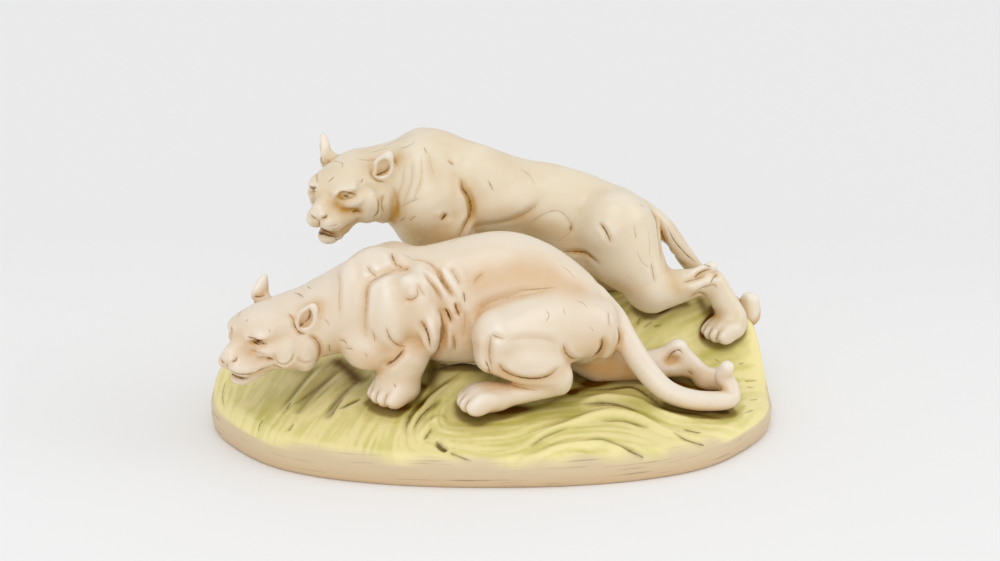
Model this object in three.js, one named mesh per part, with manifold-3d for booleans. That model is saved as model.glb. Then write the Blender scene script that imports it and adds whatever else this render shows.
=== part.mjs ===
import * as THREE from "three";
import Module from "manifold-3d";

// A glazed ceramic group: two tigers on a grassy mound, fired as one solid piece.
// Millimetres, +Z up. +X runs from the heads to the tails, -Y is the side shown to the viewer.
// The origin is the centre of the flat underside.

const BASE_LENGTH = 516;        // plan of the mound, a squarish oval
const BASE_DEPTH = 297;
const BASE_SQUARENESS = 2.25;
const END_LEAN = 0.028;         // near both ends the oval is drawn in a little in front and out behind
const RIM = 25;                 // height of the plain rim at the middle of the front
const DOME = 20;                // rise of the turf from the rim to the middle
const SLOPE_LEFT = 14;          // extra height of the ground behind, at the head end
const SLOPE_RIGHT = 50;         // and how much more of it there is at the tail end
const HILLOCK = 12;             // hump behind the standing tiger's hind paw
const SWELL = 20;               // rise of the turf under the crouching tiger's belly
const BACK_FALL = 0.45;         // share of its height that the ground loses towards the back edge
const ROUNDING = 6;             // drop of the turf's edge over the rim
const GRID = 5;                 // spacing at which the bodies are sampled
const TIGER_FACETS = 3850;      // facets kept for each body
const RAD = Math.PI / 180;

// forms: each is a distance to a simple solid, with the width over which it melts into the rest

function turn(yaw, pitch, roll) {
  const [cy, sy, cp, sp, cr, sr] = [yaw, pitch, roll].flatMap((a) => [Math.cos(a * RAD), Math.sin(a * RAD)]);
  const rz = [[cy, -sy, 0], [sy, cy, 0], [0, 0, 1]];
  const ry = [[cp, 0, -sp], [0, 1, 0], [sp, 0, cp]];
  const rx = [[1, 0, 0], [0, cr, -sr], [0, sr, cr]];
  const by = (m, n) => m.map((row) => [0, 1, 2].map((j) => row[0] * n[0][j] + row[1] * n[1][j] + row[2] * n[2][j]));
  return by(by(rz, ry), rx);
}

// into a frame's own directions, and back out of them
const inward = (m, x, y, z) => [0, 1, 2].map((j) => m[0][j] * x + m[1][j] * y + m[2][j] * z);
const outward = (m, x, y, z) => [0, 1, 2].map((i) => m[i][0] * x + m[i][1] * y + m[i][2] * z);

function form(dist, low, high, blend, cut = false) {
  return { dist, low, high, blend, cut };
}

function blob(x, y, z, a, b, c, blend, yaw = 0, pitch = 0, roll = 0, cut = false) {
  const m = turn(yaw, pitch, roll);
  const reach = m.map((row) => Math.abs(row[0]) * a + Math.abs(row[1]) * b + Math.abs(row[2]) * c);
  const dist = (px, py, pz) => {
    const [u, v, w] = inward(m, px - x, py - y, pz - z);
    const k0 = Math.hypot(u / a, v / b, w / c) + 1e-9;
    const k1 = Math.hypot(u / a / a, v / b / b, w / c / c) + 1e-9;
    return (k0 * (k0 - 1)) / k1;
  };
  return form(dist, [x - reach[0], y - reach[1], z - reach[2]], [x + reach[0], y + reach[1], z + reach[2]], blend, cut);
}

function bone(ax, ay, az, ar, bx, by, bz, br, blend) {
  const [dx, dy, dz] = [bx - ax, by - ay, bz - az];
  const l2 = Math.max(dx * dx + dy * dy + dz * dz, 1e-9);
  const r = Math.max(ar, br);
  const dist = (px, py, pz) => {
    const t = Math.min(1, Math.max(0, ((px - ax) * dx + (py - ay) * dy + (pz - az) * dz) / l2));
    return Math.hypot(px - ax - t * dx, py - ay - t * dy, pz - az - t * dz) - ar - t * (br - ar);
  };
  return form(dist, [Math.min(ax, bx) - r, Math.min(ay, by) - r, Math.min(az, bz) - r],
    [Math.max(ax, bx) + r, Math.max(ay, by) + r, Math.max(az, bz) + r], blend);
}

// a tail: a smooth curve through points given as x, y, z and radius
function rope(points, blend) {
  const ghost = (p, q) => p.map((v, i) => 2 * v - q[i]);
  const all = [ghost(points[0], points[1]), ...points, ghost(points.at(-1), points.at(-2))];
  const steps = 4 * points.length;
  const along = [];
  for (let k = 0; k < steps; k++) {
    const t = (k * (points.length - 1)) / (steps - 1);
    const i = Math.min(Math.floor(t), points.length - 2);
    const u = t - i;
    const [a, b, c, d] = all.slice(i, i + 4);
    along.push(a.map((_, j) => 0.5 * (2 * b[j] + (c[j] - a[j]) * u + (2 * a[j] - 5 * b[j] + 4 * c[j] - d[j]) * u * u
      + (-a[j] + 3 * b[j] - 3 * c[j] + d[j]) * u * u * u)));
  }
  const links = along.slice(1).map((q, i) => bone(...along[i], ...q, 0));
  const low = [0, 1, 2].map((i) => Math.min(...links.map((l) => l.low[i])));
  const high = [0, 1, 2].map((i) => Math.max(...links.map((l) => l.high[i])));
  return form((x, y, z) => Math.min(...links.map((l) => l.dist(x, y, z))), low, high, blend);
}

// forms made in a frame of their own, set down in the group
function place(forms, x, y, z, yaw, pitch = 0, roll = 0, scale = 1) {
  const m = turn(yaw, pitch, roll);
  return forms.map((f) => {
    const dist = (px, py, pz) => {
      const [u, v, w] = inward(m, (px - x) / scale, (py - y) / scale, (pz - z) / scale);
      return f.dist(u, v, w) * scale;
    };
    const mid = f.low.map((v, i) => ((v + f.high[i]) / 2) * scale);
    const half = f.low.map((v, i) => ((f.high[i] - v) / 2) * scale);
    const c = outward(m, ...mid);
    const r = m.map((row) => Math.abs(row[0]) * half[0] + Math.abs(row[1]) * half[1] + Math.abs(row[2]) * half[2]);
    return form(dist, [x + c[0] - r[0], y + c[1] - r[1], z + c[2] - r[2]],
      [x + c[0] + r[0], y + c[1] + r[1], z + c[2] + r[2]], f.blend * scale, f.cut);
  });
}

// anatomy

// head: x forward, y to the animal's left, z up, 0 midway between the eyes. gape opens the jaw.
function head(gape) {
  const forms = [
    blob(-38, 0, -8, 38, 28, 26, 12),                 // skull
    blob(-14, 0, -1, 20, 21, 13, 10, 0, -14),         // forehead
    bone(-8, 0, -3, 12, 13, 0, -14, 9, 8),            // bridge of the nose
    blob(3, 0, -21, 16, 14, 12, 8),                   // upper jaw
    blob(-36, 0, -22, 24, 18, 17, 10),                // throat
  ];
  for (const s of [1, -1]) {
    const drop = 2 + 2 * s;                           // the ear nearer the viewer is carried lower
    forms.push(
      blob(-12, s * 19, -8, 15, 9, 8, 8, s * -14),    // cheekbone
      blob(-25, s * 24, -14, 14, 12, 14, 4),          // cheek
      blob(-45, s * 29, -18, 12, 12, 20, 4, s * 14),  // ruff
      blob(11, s * 7.5, -25, 10, 9, 8.5, 4),          // lip
      bone(-30, s * 16, -23, 11, -2, s * 6, -37 - gape, 6.5, 6),     // lower jaw
      blob(-5, s * 12, 5, 10, 8, 5, 5, s * -20, -10), // brow
      blob(-47, s * 27, 8 - drop, 8, 9, 9, 5, 0, 0, s * 25),         // root of the ear
      blob(-48, s * 31, 19 - drop, 5, 9.5, 13, 3, s * 20, 0, s * -25));   // ear
  }
  forms.push(blob(4, 0, -40 - gape, 9, 10, 6.5, 4),   // chin
    blob(19, 0, -16, 4.5, 7.5, 4.5, 3));              // nose
  return forms;
}

// paw: toes along x, 0 in the palm
function paw() {
  const toes = [-1.5, -0.5, 0.5, 1.5].map((c) => blob(16 - Math.abs(c) * 3.2, c * 8.6, -1, 11, 5.2, 8.5, 3));
  return [blob(0, 0, 1, 18, 16, 12, 8), ...toes];
}

function crouchingTiger() {
  return [
    // trunk
    blob(-48, -32, 127, 74, 37, 52, 20),
    blob(8, -32, 146, 60, 35, 45, 20),
    blob(54, -32, 127, 50, 34, 42, 18, 0, -26),
    blob(-8, -34, 108, 62, 30, 34, 18),
    blob(80, -34, 104, 26, 32, 32, 14),
    // neck
    bone(-92, -35, 133, 43, -162, -36, 108, 31, 16),
    // far shoulder and foreleg
    bone(-88, -12, 156, 20, -90, -4, 110, 26, 14),
    bone(-62, -4, 92, 18, -66, -2, 62, 14, 10),
    // near shoulder and foreleg
    bone(-100, -44, 158, 20, -96, -54, 128, 26, 12),
    blob(-82, -66, 124, 25, 23, 42, 6, 0, 0, 6),
    blob(-50, -62, 112, 16, 22, 36, 5, 0, 8),
    bone(-64, -68, 92, 20, -68, -66, 70, 18, 6),
    // near hind leg, folded under
    blob(52, -58, 115, 56, 30, 35, 10, 0, 2),
    bone(56, -58, 116, 34, 8, -74, 112, 25, 10),
    blob(33, -82, 92, 32, 16, 20, 5, 0, -6),
    bone(2, -80, 96, 17, 58, -80, 76, 14, 6),
    bone(60, -77, 68, 11, 10, -84, 58, 10, 5),
    // far hind leg, stretched back
    blob(86, -12, 86, 36, 26, 32, 12, 0, -20),
    bone(100, -12, 66, 22, 148, -9, 56, 11, 10),
    bone(136, -8, 58, 8, 170, -6, 73, 7.5, 8),
    bone(146, -9, 58, 11, 176, -9, 57, 9, 8),
    bone(171, -7, 72, 8.5, 196, -10, 46, 10.5, 8),
    // tail
    rope([[92, -33, 132, 13], [109, -36, 114, 11], [120, -42, 97, 10], [137, -50, 72, 9], [155, -60, 54, 8.5],
      [178, -64, 46, 8], [203, -60, 43, 8], [215, -54, 45, 8], [214, -48, 54, 7.5], [208, -46, 62, 7],
      [211, -50, 72, 6]], 5),
    ...place(paw(), -72, -2, 50, 180),
    ...place(paw(), -80, -62, 57, 184, 0, 0, 1.25),
    ...place(paw(), -4, -86, 57, 182, 0, 0, 1.1),
    ...place(paw(), 206, -10, 44, 0, 0, 0, 0.85),
    ...place(head(0), -214, -77, 113, 228, -3, -8),
  ];
}

function stalkingTiger() {
  return [
    // trunk
    blob(-32, 78, 201, 70, 36, 49, 20, 0, -8),
    blob(42, 78, 191, 64, 33, 38, 20, 0, -5),
    blob(100, 77, 176, 50, 33, 34, 18, 0, -20),
    blob(78, 72, 163, 44, 28, 28, 12, 0, -14),
    blob(132, 76, 158, 28, 29, 28, 14),
    blob(-62, 66, 180, 32, 28, 34, 14),
    // neck
    bone(-66, 78, 209, 43, -112, 78, 209, 28, 12),
    // shoulders and forelegs
    bone(-66, 62, 231, 22, -58, 52, 192, 27, 12),
    bone(-66, 94, 233, 22, -58, 102, 192, 26, 12),
    bone(-56, 50, 200, 26, -34, 48, 178, 22, 12),
    bone(-34, 48, 172, 19, -56, 46, 104, 13, 10),
    bone(-56, 106, 190, 25, -50, 106, 160, 19, 12),
    bone(-50, 106, 160, 18, -80, 106, 98, 13, 10),
    // near hind leg, pushing off
    bone(116, 58, 170, 36, 146, 47, 120, 24, 14),
    blob(120, 52, 142, 30, 22, 26, 12, 0, -50),
    bone(152, 46, 112, 19, 203, 52, 122, 11, 10),
    bone(192, 54, 124, 8, 207, 54, 131, 6, 5),
    bone(209, 52, 119, 11.5, 226, 48, 86, 10, 8),
    // far hind leg, under the belly
    bone(118, 96, 166, 32, 104, 106, 124, 21, 14),
    bone(104, 106, 122, 18, 124, 108, 98, 12, 10),
    bone(124, 108, 98, 11, 92, 108, 80, 11, 8),
    // tail
    rope([[142, 75, 180, 13], [160, 78, 168, 10.5], [172, 84, 154, 9], [188, 88, 131, 8.5], [206, 92, 108, 8.5],
      [224, 90, 92, 9], [239, 80, 80, 9.5], [247, 72, 80, 10.5], [247, 74, 90, 9]], 5),
    ...place(paw(), -66, 46, 76, 184, 0, 0, 1.1),
    ...place(paw(), -90, 106, 78, 184, 0, 0, 1.1),
    ...place(paw(), 222, 44, 76, 196, 0, 0, 1.05),
    ...place(paw(), 80, 108, 80, 180, 0, 0, 1.05),
    ...place(head(3), -147, 20, 217, 243, -8, -4),
  ];
}

// from forms to a closed faceted body

function melt(a, b, k) {
  const h = Math.min(1, Math.max(0, 0.5 + (0.5 * (b - a)) / k));
  return b * (1 - h) + a * h - k * h * (1 - h);
}

function depthField(forms) {
  const margin = 6;
  return (x, y, z) => {
    let f = 60;
    for (const p of forms) {
      const g = p.blend + margin;
      if (x < p.low[0] - g || x > p.high[0] + g || y < p.low[1] - g || y > p.high[1] + g
        || z < p.low[2] - g || z > p.high[2] + g) continue;
      const d = p.dist(x, y, z);
      f = p.cut ? -melt(-f, d, p.blend) : melt(f, d, p.blend);
    }
    return f;
  };
}

// every grid cell is six tetrahedra, and the skin crosses each of them in one or two flat facets
function skin(forms, step) {
  const field = depthField(forms);
  const low = [0, 1, 2].map((i) => Math.min(...forms.map((f) => f.low[i])) - 2.3 * step);
  const size = [0, 1, 2].map((i) => Math.ceil((Math.max(...forms.map((f) => f.high[i])) + 2 * step - low[i]) / step) + 1);
  const at = (i, j, k) => (i * size[1] + j) * size[2] + k;
  const value = new Float64Array(size[0] * size[1] * size[2]);
  for (let i = 0; i < size[0]; i++) for (let j = 0; j < size[1]; j++) for (let k = 0; k < size[2]; k++) {
    value[at(i, j, k)] = field(low[0] + i * step, low[1] + j * step, low[2] + k * step) || 1e-6;
  }
  const points = [];
  const made = new Map();
  const place = (n) => [Math.floor(n / (size[1] * size[2])), Math.floor(n / size[2]) % size[1], n % size[2]];
  const crossing = (p, q) => {
    const key = p < q ? p * value.length + q : q * value.length + p;
    if (!made.has(key)) {
      const [a, b] = [place(Math.min(p, q)), place(Math.max(p, q))];
      const [fa, fb] = [value[Math.min(p, q)], value[Math.max(p, q)]];
      const t = Math.min(0.97, Math.max(0.03, fa / (fa - fb)));
      made.set(key, points.length);
      points.push(a.map((v, i) => low[i] + step * (v + t * (b[i] - v))));
    }
    return made.get(key);
  };
  const faces = [];
  const corner = [[1, 0, 0], [0, 1, 0], [0, 0, 1]];
  const orders = [[0, 1, 2, 1], [1, 2, 0, 1], [2, 0, 1, 1], [0, 2, 1, -1], [2, 1, 0, -1], [1, 0, 2, -1]];
  for (let i = 0; i < size[0] - 1; i++) for (let j = 0; j < size[1] - 1; j++) for (let k = 0; k < size[2] - 1; k++) {
    for (const [p, q, r, hand] of orders) {
      const walk = [[i, j, k]];
      for (const s of [p, q, r]) walk.push(walk.at(-1).map((v, n) => v + corner[s][n]));
      let t = walk.map((w) => at(...w));
      if (hand < 0) t = [t[0], t[1], t[3], t[2]];
      const inside = t.filter((n) => value[n] < 0);
      if (inside.length === 0 || inside.length === 4) continue;
      // order the four corners so that the ones inside come first, keeping the tetrahedron's handedness
      const order = [0, 1, 2, 3].sort((a, b) => (value[t[b]] < 0) - (value[t[a]] < 0) || a - b);
      let swaps = 0;
      for (let a = 0; a < 4; a++) for (let b = a + 1; b < 4; b++) if (order[a] > order[b]) swaps++;
      let [a, b, c, d] = order.map((n) => t[n]);
      if (inside.length === 1) {
        const tri = [crossing(a, b), crossing(a, c), crossing(a, d)];
        faces.push(swaps % 2 ? [tri[0], tri[2], tri[1]] : tri);
      } else if (inside.length === 3) {
        const tri = [crossing(a, d), crossing(b, d), crossing(c, d)];
        faces.push(swaps % 2 ? [tri[0], tri[2], tri[1]] : tri);
      } else {
        const quad = [crossing(a, c), crossing(a, d), crossing(b, d), crossing(b, c)];
        if (swaps % 2) quad.reverse();
        faces.push([quad[0], quad[1], quad[2]], [quad[0], quad[2], quad[3]]);
      }
    }
  }
  return { points, faces };
}

// Facets are thinned by drawing in the edge whose loss moves the skin least, until the number asked for is left.
function thin({ points, faces }, target) {
  const cross = (a, b, c) => {
    const [ux, uy, uz, vx, vy, vz] = [b[0] - a[0], b[1] - a[1], b[2] - a[2], c[0] - a[0], c[1] - a[1], c[2] - a[2]];
    return [uy * vz - uz * vy, uz * vx - ux * vz, ux * vy - uy * vx];
  };
  const planes = points.map(() => new Float64Array(10));
  const around = points.map(() => new Set());
  faces.forEach((f, n) => {
    const c = cross(...f.map((v) => points[v]));
    const area = Math.hypot(...c) || 1e-12;
    const [x, y, z] = c.map((v) => v / area);
    const w = -(x * points[f[0]][0] + y * points[f[0]][1] + z * points[f[0]][2]);
    const q = [x * x, x * y, x * z, x * w, y * y, y * z, y * w, z * z, z * w, w * w].map((v) => v * area);
    for (const v of f) {
      around[v].add(n);
      q.forEach((s, i) => { planes[v][i] += s; });
    }
  });
  const turnOf = new Int32Array(points.length);
  const heap = [];
  const push = (e) => {
    let i = heap.push(e) - 1;
    while (i > 0 && heap[(i - 1) >> 1].cost > heap[i].cost) {
      const up = (i - 1) >> 1;
      [heap[i], heap[up]] = [heap[up], heap[i]];
      i = up;
    }
  };
  const pop = () => {
    const top = heap[0];
    const last = heap.pop();
    if (heap.length) {
      heap[0] = last;
      for (let i = 0; ;) {
        let m = i;
        for (const c of [2 * i + 1, 2 * i + 2]) if (c < heap.length && heap[c].cost < heap[m].cost) m = c;
        if (m === i) break;
        [heap[i], heap[m]] = [heap[m], heap[i]];
        i = m;
      }
    }
    return top;
  };
  const offer = (a, b) => {
    const q = planes[a].map((v, i) => v + planes[b][i]);
    const [pa, pb] = [points[a], points[b]];
    const det3 = (m) => m[0] * (m[4] * m[8] - m[5] * m[7]) - m[1] * (m[3] * m[8] - m[5] * m[6]) + m[2] * (m[3] * m[7] - m[4] * m[6]);
    const base = [q[0], q[1], q[2], q[1], q[4], q[5], q[2], q[5], q[7]];
    const det = det3(base);
    let at = pa.map((v, i) => (v + pb[i]) / 2);
    const span = Math.hypot(...pa.map((v, i) => v - pb[i]));
    if (Math.abs(det) > 1e-4 * Math.pow(q[0] + q[4] + q[7], 3)) {
      const right = [-q[3], -q[6], -q[8]];
      const best = [0, 1, 2].map((c) => det3(base.map((v, i) => (i % 3 === c ? right[Math.floor(i / 3)] : v))) / det);
      if (Math.hypot(...best.map((v, i) => v - at[i])) < 1.5 * span) at = best;
    }
    const [x, y, z] = at;
    const error = q[0] * x * x + 2 * q[1] * x * y + 2 * q[2] * x * z + 2 * q[3] * x + q[4] * y * y + 2 * q[5] * y * z
      + 2 * q[6] * y + q[7] * z * z + 2 * q[8] * z + q[9];
    push({ cost: Math.max(error, 0) + 0.01 * span * span, a, b, at, ta: turnOf[a], tb: turnOf[b] });
  };
  const neighbours = (v) => {
    const out = new Set();
    for (const n of around[v]) for (const w of faces[n]) if (w !== v) out.add(w);
    return out;
  };
  points.forEach((_, v) => { for (const w of neighbours(v)) if (v < w) offer(v, w); });
  let left = faces.length;
  while (left > target && heap.length) {
    const { a, b, at, ta, tb } = pop();
    if (turnOf[a] !== ta || turnOf[b] !== tb) continue;
    const [na, nb] = [neighbours(a), neighbours(b)];
    if (!na.has(b) || [...na].filter((v) => nb.has(v)).length !== 2) continue;
    const shared = [...around[a]].filter((n) => around[b].has(n));
    const kept = [...around[a], ...around[b]].filter((n) => !shared.includes(n));
    const folds = kept.some((n) => {
      const before = cross(...faces[n].map((v) => points[v]));
      const after = cross(...faces[n].map((v) => (v === a || v === b ? at : points[v])));
      const [l, m] = [Math.hypot(...before), Math.hypot(...after)];
      return before[0] * after[0] + before[1] * after[1] + before[2] * after[2] < 0.3 * l * m || m < 0.05;
    });
    if (folds) continue;
    points[a] = at;
    planes[b].forEach((v, i) => { planes[a][i] += v; });
    for (const n of shared) {
      for (const v of faces[n]) around[v].delete(n);
      faces[n] = null;
      left--;
    }
    for (const n of around[b]) {
      faces[n] = faces[n].map((v) => (v === b ? a : v));
      around[a].add(n);
    }
    around[b] = new Set();
    turnOf[b] = -1;
    turnOf[a]++;
    for (const v of neighbours(a)) offer(a, v);
  }
  const rank = new Map();
  const kept = [];
  const out = faces.filter(Boolean).map((f) => f.map((v) => {
    if (!rank.has(v)) { rank.set(v, kept.length); kept.push(points[v]); }
    return rank.get(v);
  }));
  return { points: kept, faces: out };
}

// the mound

function ground(x, y) {
  const n = BASE_SQUARENESS;
  const out = Math.min(1, Math.pow(Math.pow(Math.abs((2 * x) / BASE_LENGTH), n) + Math.pow(Math.abs((2 * y) / BASE_DEPTH), n), 1 / n));
  const rim = RIM - 0.012 * x + 0.03 * (y + 150);
  const s = Math.min(1, Math.max(0, (x + 150) / 370));
  const climb = SLOPE_LEFT + SLOPE_RIGHT * s * s * (3 - 2 * s);
  const height = rim + DOME * (1 - Math.pow(out, 2.5)) + climb / (1 + Math.exp((30 + 0.06 * x - y) / 15))
    + HILLOCK * Math.exp(-((x - 238) ** 2 + (y - 92) ** 2) / 1800)
    + SWELL * Math.exp(-(((x + 26) / 42) ** 2) - ((y + 36) / 26) ** 2);
  const b = Math.min(1, Math.max(0, (y - 95) / 53));
  return height - BACK_FALL * (height - RIM) * b * b * (3 - 2 * b);
}

function edge(angle) {
  const [c, s] = [Math.cos(angle), Math.sin(angle)];
  const x = (BASE_LENGTH / 2) * Math.sign(c) * Math.pow(Math.abs(c), 2 / BASE_SQUARENESS);
  const y = (BASE_DEPTH / 2) * Math.sign(s) * Math.pow(Math.abs(s), 2 / BASE_SQUARENESS);
  const bearing = Math.atan2(Math.abs(y), Math.abs(x)) / RAD;
  const lean = 1 + END_LEAN * Math.sign(y) * Math.exp(-(((bearing - 17) / 11) ** 2));
  return [x * lean, y * lean];
}

function mound() {
  const around = 84;
  const rings = [1, 0.975, 0.93, 0.85, 0.74, 0.62, 0.5, 0.38, 0.26, 0.13];
  const points = [[0, 0, 0]];
  for (let k = 0; k < around; k++) {
    const [x, y] = edge((k * 2 * Math.PI) / around);
    points.push([x, y, 0]);
  }
  for (const r of rings) for (let k = 0; k < around; k++) {
    const [x, y] = edge((k * 2 * Math.PI) / around).map((v) => v * r);
    points.push([x, y, ground(x, y) - ROUNDING * Math.min(1, Math.max(0, (r - 0.95) / 0.05)) ** 2]);
  }
  points.push([0, 0, ground(0, 0)]);
  const faces = [];
  const next = (k) => (k + 1) % around;
  for (let k = 0; k < around; k++) {
    faces.push([0, 1 + next(k), 1 + k]);
    for (let r = 0; r < rings.length; r++) {
      const [low, high] = [1 + r * around, 1 + (r + 1) * around];
      faces.push([low + k, low + next(k), high + next(k)], [low + k, high + next(k), high + k]);
    }
    const last = 1 + rings.length * around;
    faces.push([last + k, last + next(k), points.length - 1]);
  }
  return { points, faces };
}

// one solid

const wasm = await Module();
wasm.setup();

function solid({ points, faces }) {
  return new wasm.Manifold(new wasm.Mesh({
    numProp: 3,
    vertProperties: Float32Array.from(points.flat()),
    triVerts: Uint32Array.from(faces.flat()),
  }));
}

function meshOf(body, name, material) {
  const { vertProperties, triVerts } = body.getMesh();
  const geometry = new THREE.BufferGeometry();
  geometry.setAttribute("position", new THREE.Float32BufferAttribute(vertProperties, 3));
  geometry.setIndex(new THREE.Uint32BufferAttribute(triVerts, 1));
  geometry.computeVertexNormals();
  const mesh = new THREE.Mesh(geometry, material);
  mesh.name = name;
  return mesh;
}

const tigers = [crouchingTiger(), stalkingTiger()].map((forms) => solid(thin(skin(forms, GRID), TIGER_FACETS)));
const body = solid(mound()).add(tigers[0]).add(tigers[1]);

const glaze = new THREE.MeshStandardMaterial({ color: "#e8dcc0", roughness: 0.45 });
const group = new THREE.Group();
group.name = "ceramic_tiger_group";
group.add(meshOf(body, "tiger_group", glaze));

export default group;
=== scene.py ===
"""Glazed ceramic group of a crouching and a stalking tiger on a grassy mound, laid out as an add-on.

Bodies are worked out in millimetres and put into their meshes in metres. +X runs from the heads to
the tails, -Y is the side shown to the viewer, and the origin is the centre of the flat underside.
"""

from collections import namedtuple

import bpy
import numpy as np
from bpy.props import FloatProperty, FloatVectorProperty, IntProperty
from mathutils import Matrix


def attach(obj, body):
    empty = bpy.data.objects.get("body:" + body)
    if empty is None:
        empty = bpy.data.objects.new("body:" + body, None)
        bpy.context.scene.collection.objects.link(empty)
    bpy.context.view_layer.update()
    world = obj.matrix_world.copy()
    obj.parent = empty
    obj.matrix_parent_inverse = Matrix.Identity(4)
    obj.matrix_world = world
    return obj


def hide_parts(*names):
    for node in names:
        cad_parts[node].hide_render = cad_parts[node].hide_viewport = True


bl_info = {
    "name": "Ceramic tiger group",
    "version": (1, 0, 0),
    "blender": (4, 5, 0),
    "location": "View3D > Sidebar > Tiger group",
    "description": "Models a glazed ceramic group of two tigers on a grassy mound",
    "category": "Add Mesh",
}

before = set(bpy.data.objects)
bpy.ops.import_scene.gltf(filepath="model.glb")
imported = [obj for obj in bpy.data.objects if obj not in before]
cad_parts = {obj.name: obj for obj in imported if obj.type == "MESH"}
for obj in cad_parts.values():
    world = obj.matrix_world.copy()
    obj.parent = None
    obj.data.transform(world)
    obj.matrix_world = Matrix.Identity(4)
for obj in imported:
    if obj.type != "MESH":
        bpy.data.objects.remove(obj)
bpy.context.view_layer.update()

MM = 0.001
FAR = 60.0              # a distance that counts as far from a body, in mm
MARGIN = 6.0            # depths are worked out this far beyond a form and its blend, in mm
PICTURE = (1000, 561)   # pixels of the picture in which the creases are drawn
SENSOR = 36.0           # width of the camera's sensor, in mm
CAST_FROM = 1150.0      # distance from the camera at which the search along a sight line starts, in mm
CAST_SHARE = 0.7        # share of the depth gone at each step of it, because melted depths run a little high
CAST_STEPS = 60


def colour(code):
    """Linear red, green and blue of an sRGB hex value."""
    parts = np.array([int(code[i:i + 2], 16) for i in (1, 3, 5)]) / 255
    linear = np.where(parts <= 0.04045, parts / 12.92, ((parts + 0.055) / 1.055) ** 2.4)
    return tuple(float(v) for v in linear)


def length(name, description, default):
    """A size in metres that a user can change."""
    return FloatProperty(name=name, description=description, default=default, unit="LENGTH", precision=4)


def tint(name, description, code):
    """A colour that a user can change."""
    return FloatVectorProperty(name=name, description=description, default=colour(code), subtype="COLOR",
                               size=3, min=0, max=1)


class MoundSizes(bpy.types.PropertyGroup):
    """Sizes of the mound and the detail of its grass."""

    long: length("Length", "Length of the mound along X", 0.516)
    deep: length("Depth", "Depth of the mound along Y", 0.297)
    rim: length("Rim", "Height of the plain rim at the middle of the front", 0.025)
    dome: length("Dome", "Rise of the turf from the rim to the middle", 0.020)
    slope_left: length("Slope at the heads", "Extra height of the ground behind, at the head end", 0.014)
    slope_right: length("Slope at the tails", "How much more of it there is at the tail end", 0.050)
    hillock: length("Hillock", "Hump behind the stalking tiger's hind paw", 0.012)
    swell: length("Swell", "Rise of the turf under the crouching tiger's belly", 0.020)
    rounding: length("Rounding", "Drop of the turf's edge over the rim", 0.006)
    blade: length("Grass relief", "Height of the modelled strands of grass", 0.00018)
    across: IntProperty(name="Cells along X", description="Cells of the turf's grid along X", default=380)
    back: IntProperty(name="Cells along Y", description="Cells of the turf's grid along Y", default=225)


class TigerSizes(bpy.types.PropertyGroup):
    """Detail of the two animals."""

    step: length("Step", "Spacing at which a body is sampled, away from the head", 0.00172)
    head_share: FloatProperty(name="Head detail", description="How much finer the spacing is at the face",
                              default=0.5, min=0, max=0.6)
    head_reach: length("Reach of the head detail", "Distance over which the spacing is finer", 0.050)


class GlazeColours(bpy.types.PropertyGroup):
    """Stains and glazes, with the colours of painted shade and of a painted highlight."""

    ivory: tint("Ivory", "Glaze on the crouching tiger", "#E6D9C5")
    tan: tint("Tan ivory", "Glaze on the stalking tiger", "#E5D8BF")
    # pale is a painted highlight: the glaze is painted paler over raised parts
    pale: tint("Pale", "Both glazes where they thin out over raised parts", "#F3EDE2")
    # peach and ochre: stains in the hollows, used also as painted shade there and on the sides and undersides
    peach: tint("Peach", "Stain that lies in the crouching tiger's hollows", "#D2A872")
    ochre: tint("Ochre", "Stain that lies in the stalking tiger's hollows", "#C4984C")
    brown: tint("Brown", "Fine lines in the creases", "#5C3400")
    straw: tint("Straw", "Yellow of the turf", "#ECDFA0")
    grass: tint("Grass", "Green of the turf", "#BDBA54")
    # olive is painted shade on the turf near the bodies
    olive: tint("Olive", "Turf in the shelter of the bodies", "#A08420")
    # dark brown for painted shadow where the bodies meet the turf and painted shade in its grooves, also a
    # few dark bands in the grass
    moss_and_shade: tint("Moss", "Dark brown of the turf under the bodies", "#5A3600")
    rim: tint("Rim", "Plain rim of the mound", "#D2BE9C")
    clay: tint("Clay", "Pinkish stain low on the rim", "#D2AE84")


class StageSettings(bpy.types.PropertyGroup):
    """Camera, lights and floor."""

    place: FloatVectorProperty(name="Camera", description="Place of the camera", size=3,
                               subtype="TRANSLATION", default=(0.008, -1.4424, 0.6123))
    pitch: FloatProperty(name="Pitch", description="How far the camera looks down", subtype="ANGLE",
                         default=0.31791)
    lens: FloatProperty(name="Lens", description="Focal length in millimetres", default=60.0)
    floor: tint("Floor", "Pale floor", "#F5F5F5")
    # backdrop: the floor painted darker further back, as painted shade
    backdrop: tint("Backdrop", "The floor further back", "#EBEBEB")
    sun: FloatProperty(name="Main light", description="Strength of the very soft light from above",
                       default=0.62)
    front: FloatProperty(name="Front light", description="Strength of the soft light from the viewer's side",
                         default=0.3)
    side: FloatProperty(name="Side light", description="Strength of the soft light from the tails' side",
                        default=0.35)
    sun_spread: FloatProperty(name="Softness", description="Angle over which the main light is spread",
                              subtype="ANGLE", default=0.7)
    sky: FloatProperty(name="Surroundings", description="Strength of the even light all round", default=0.755)


# Forms: each is the distance to a simple solid, with the width over which it melts into the rest

Form = namedtuple("Form", "gap low high blend kind")


def turn(yaw, pitch, roll):
    """Columns are a turned frame's own directions: yaw about Z, then pitch lifts x, then roll about x."""
    angles = np.radians([yaw, pitch, roll])
    (cy, cp, cr), (sy, sp, sr) = np.cos(angles), np.sin(angles)
    about_z = np.array([[cy, -sy, 0], [sy, cy, 0], [0, 0, 1]])
    about_y = np.array([[cp, 0, -sp], [0, 1, 0], [sp, 0, cp]])
    about_x = np.array([[1, 0, 0], [0, cr, -sr], [0, sr, cr]])
    return about_z @ about_y @ about_x


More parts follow.
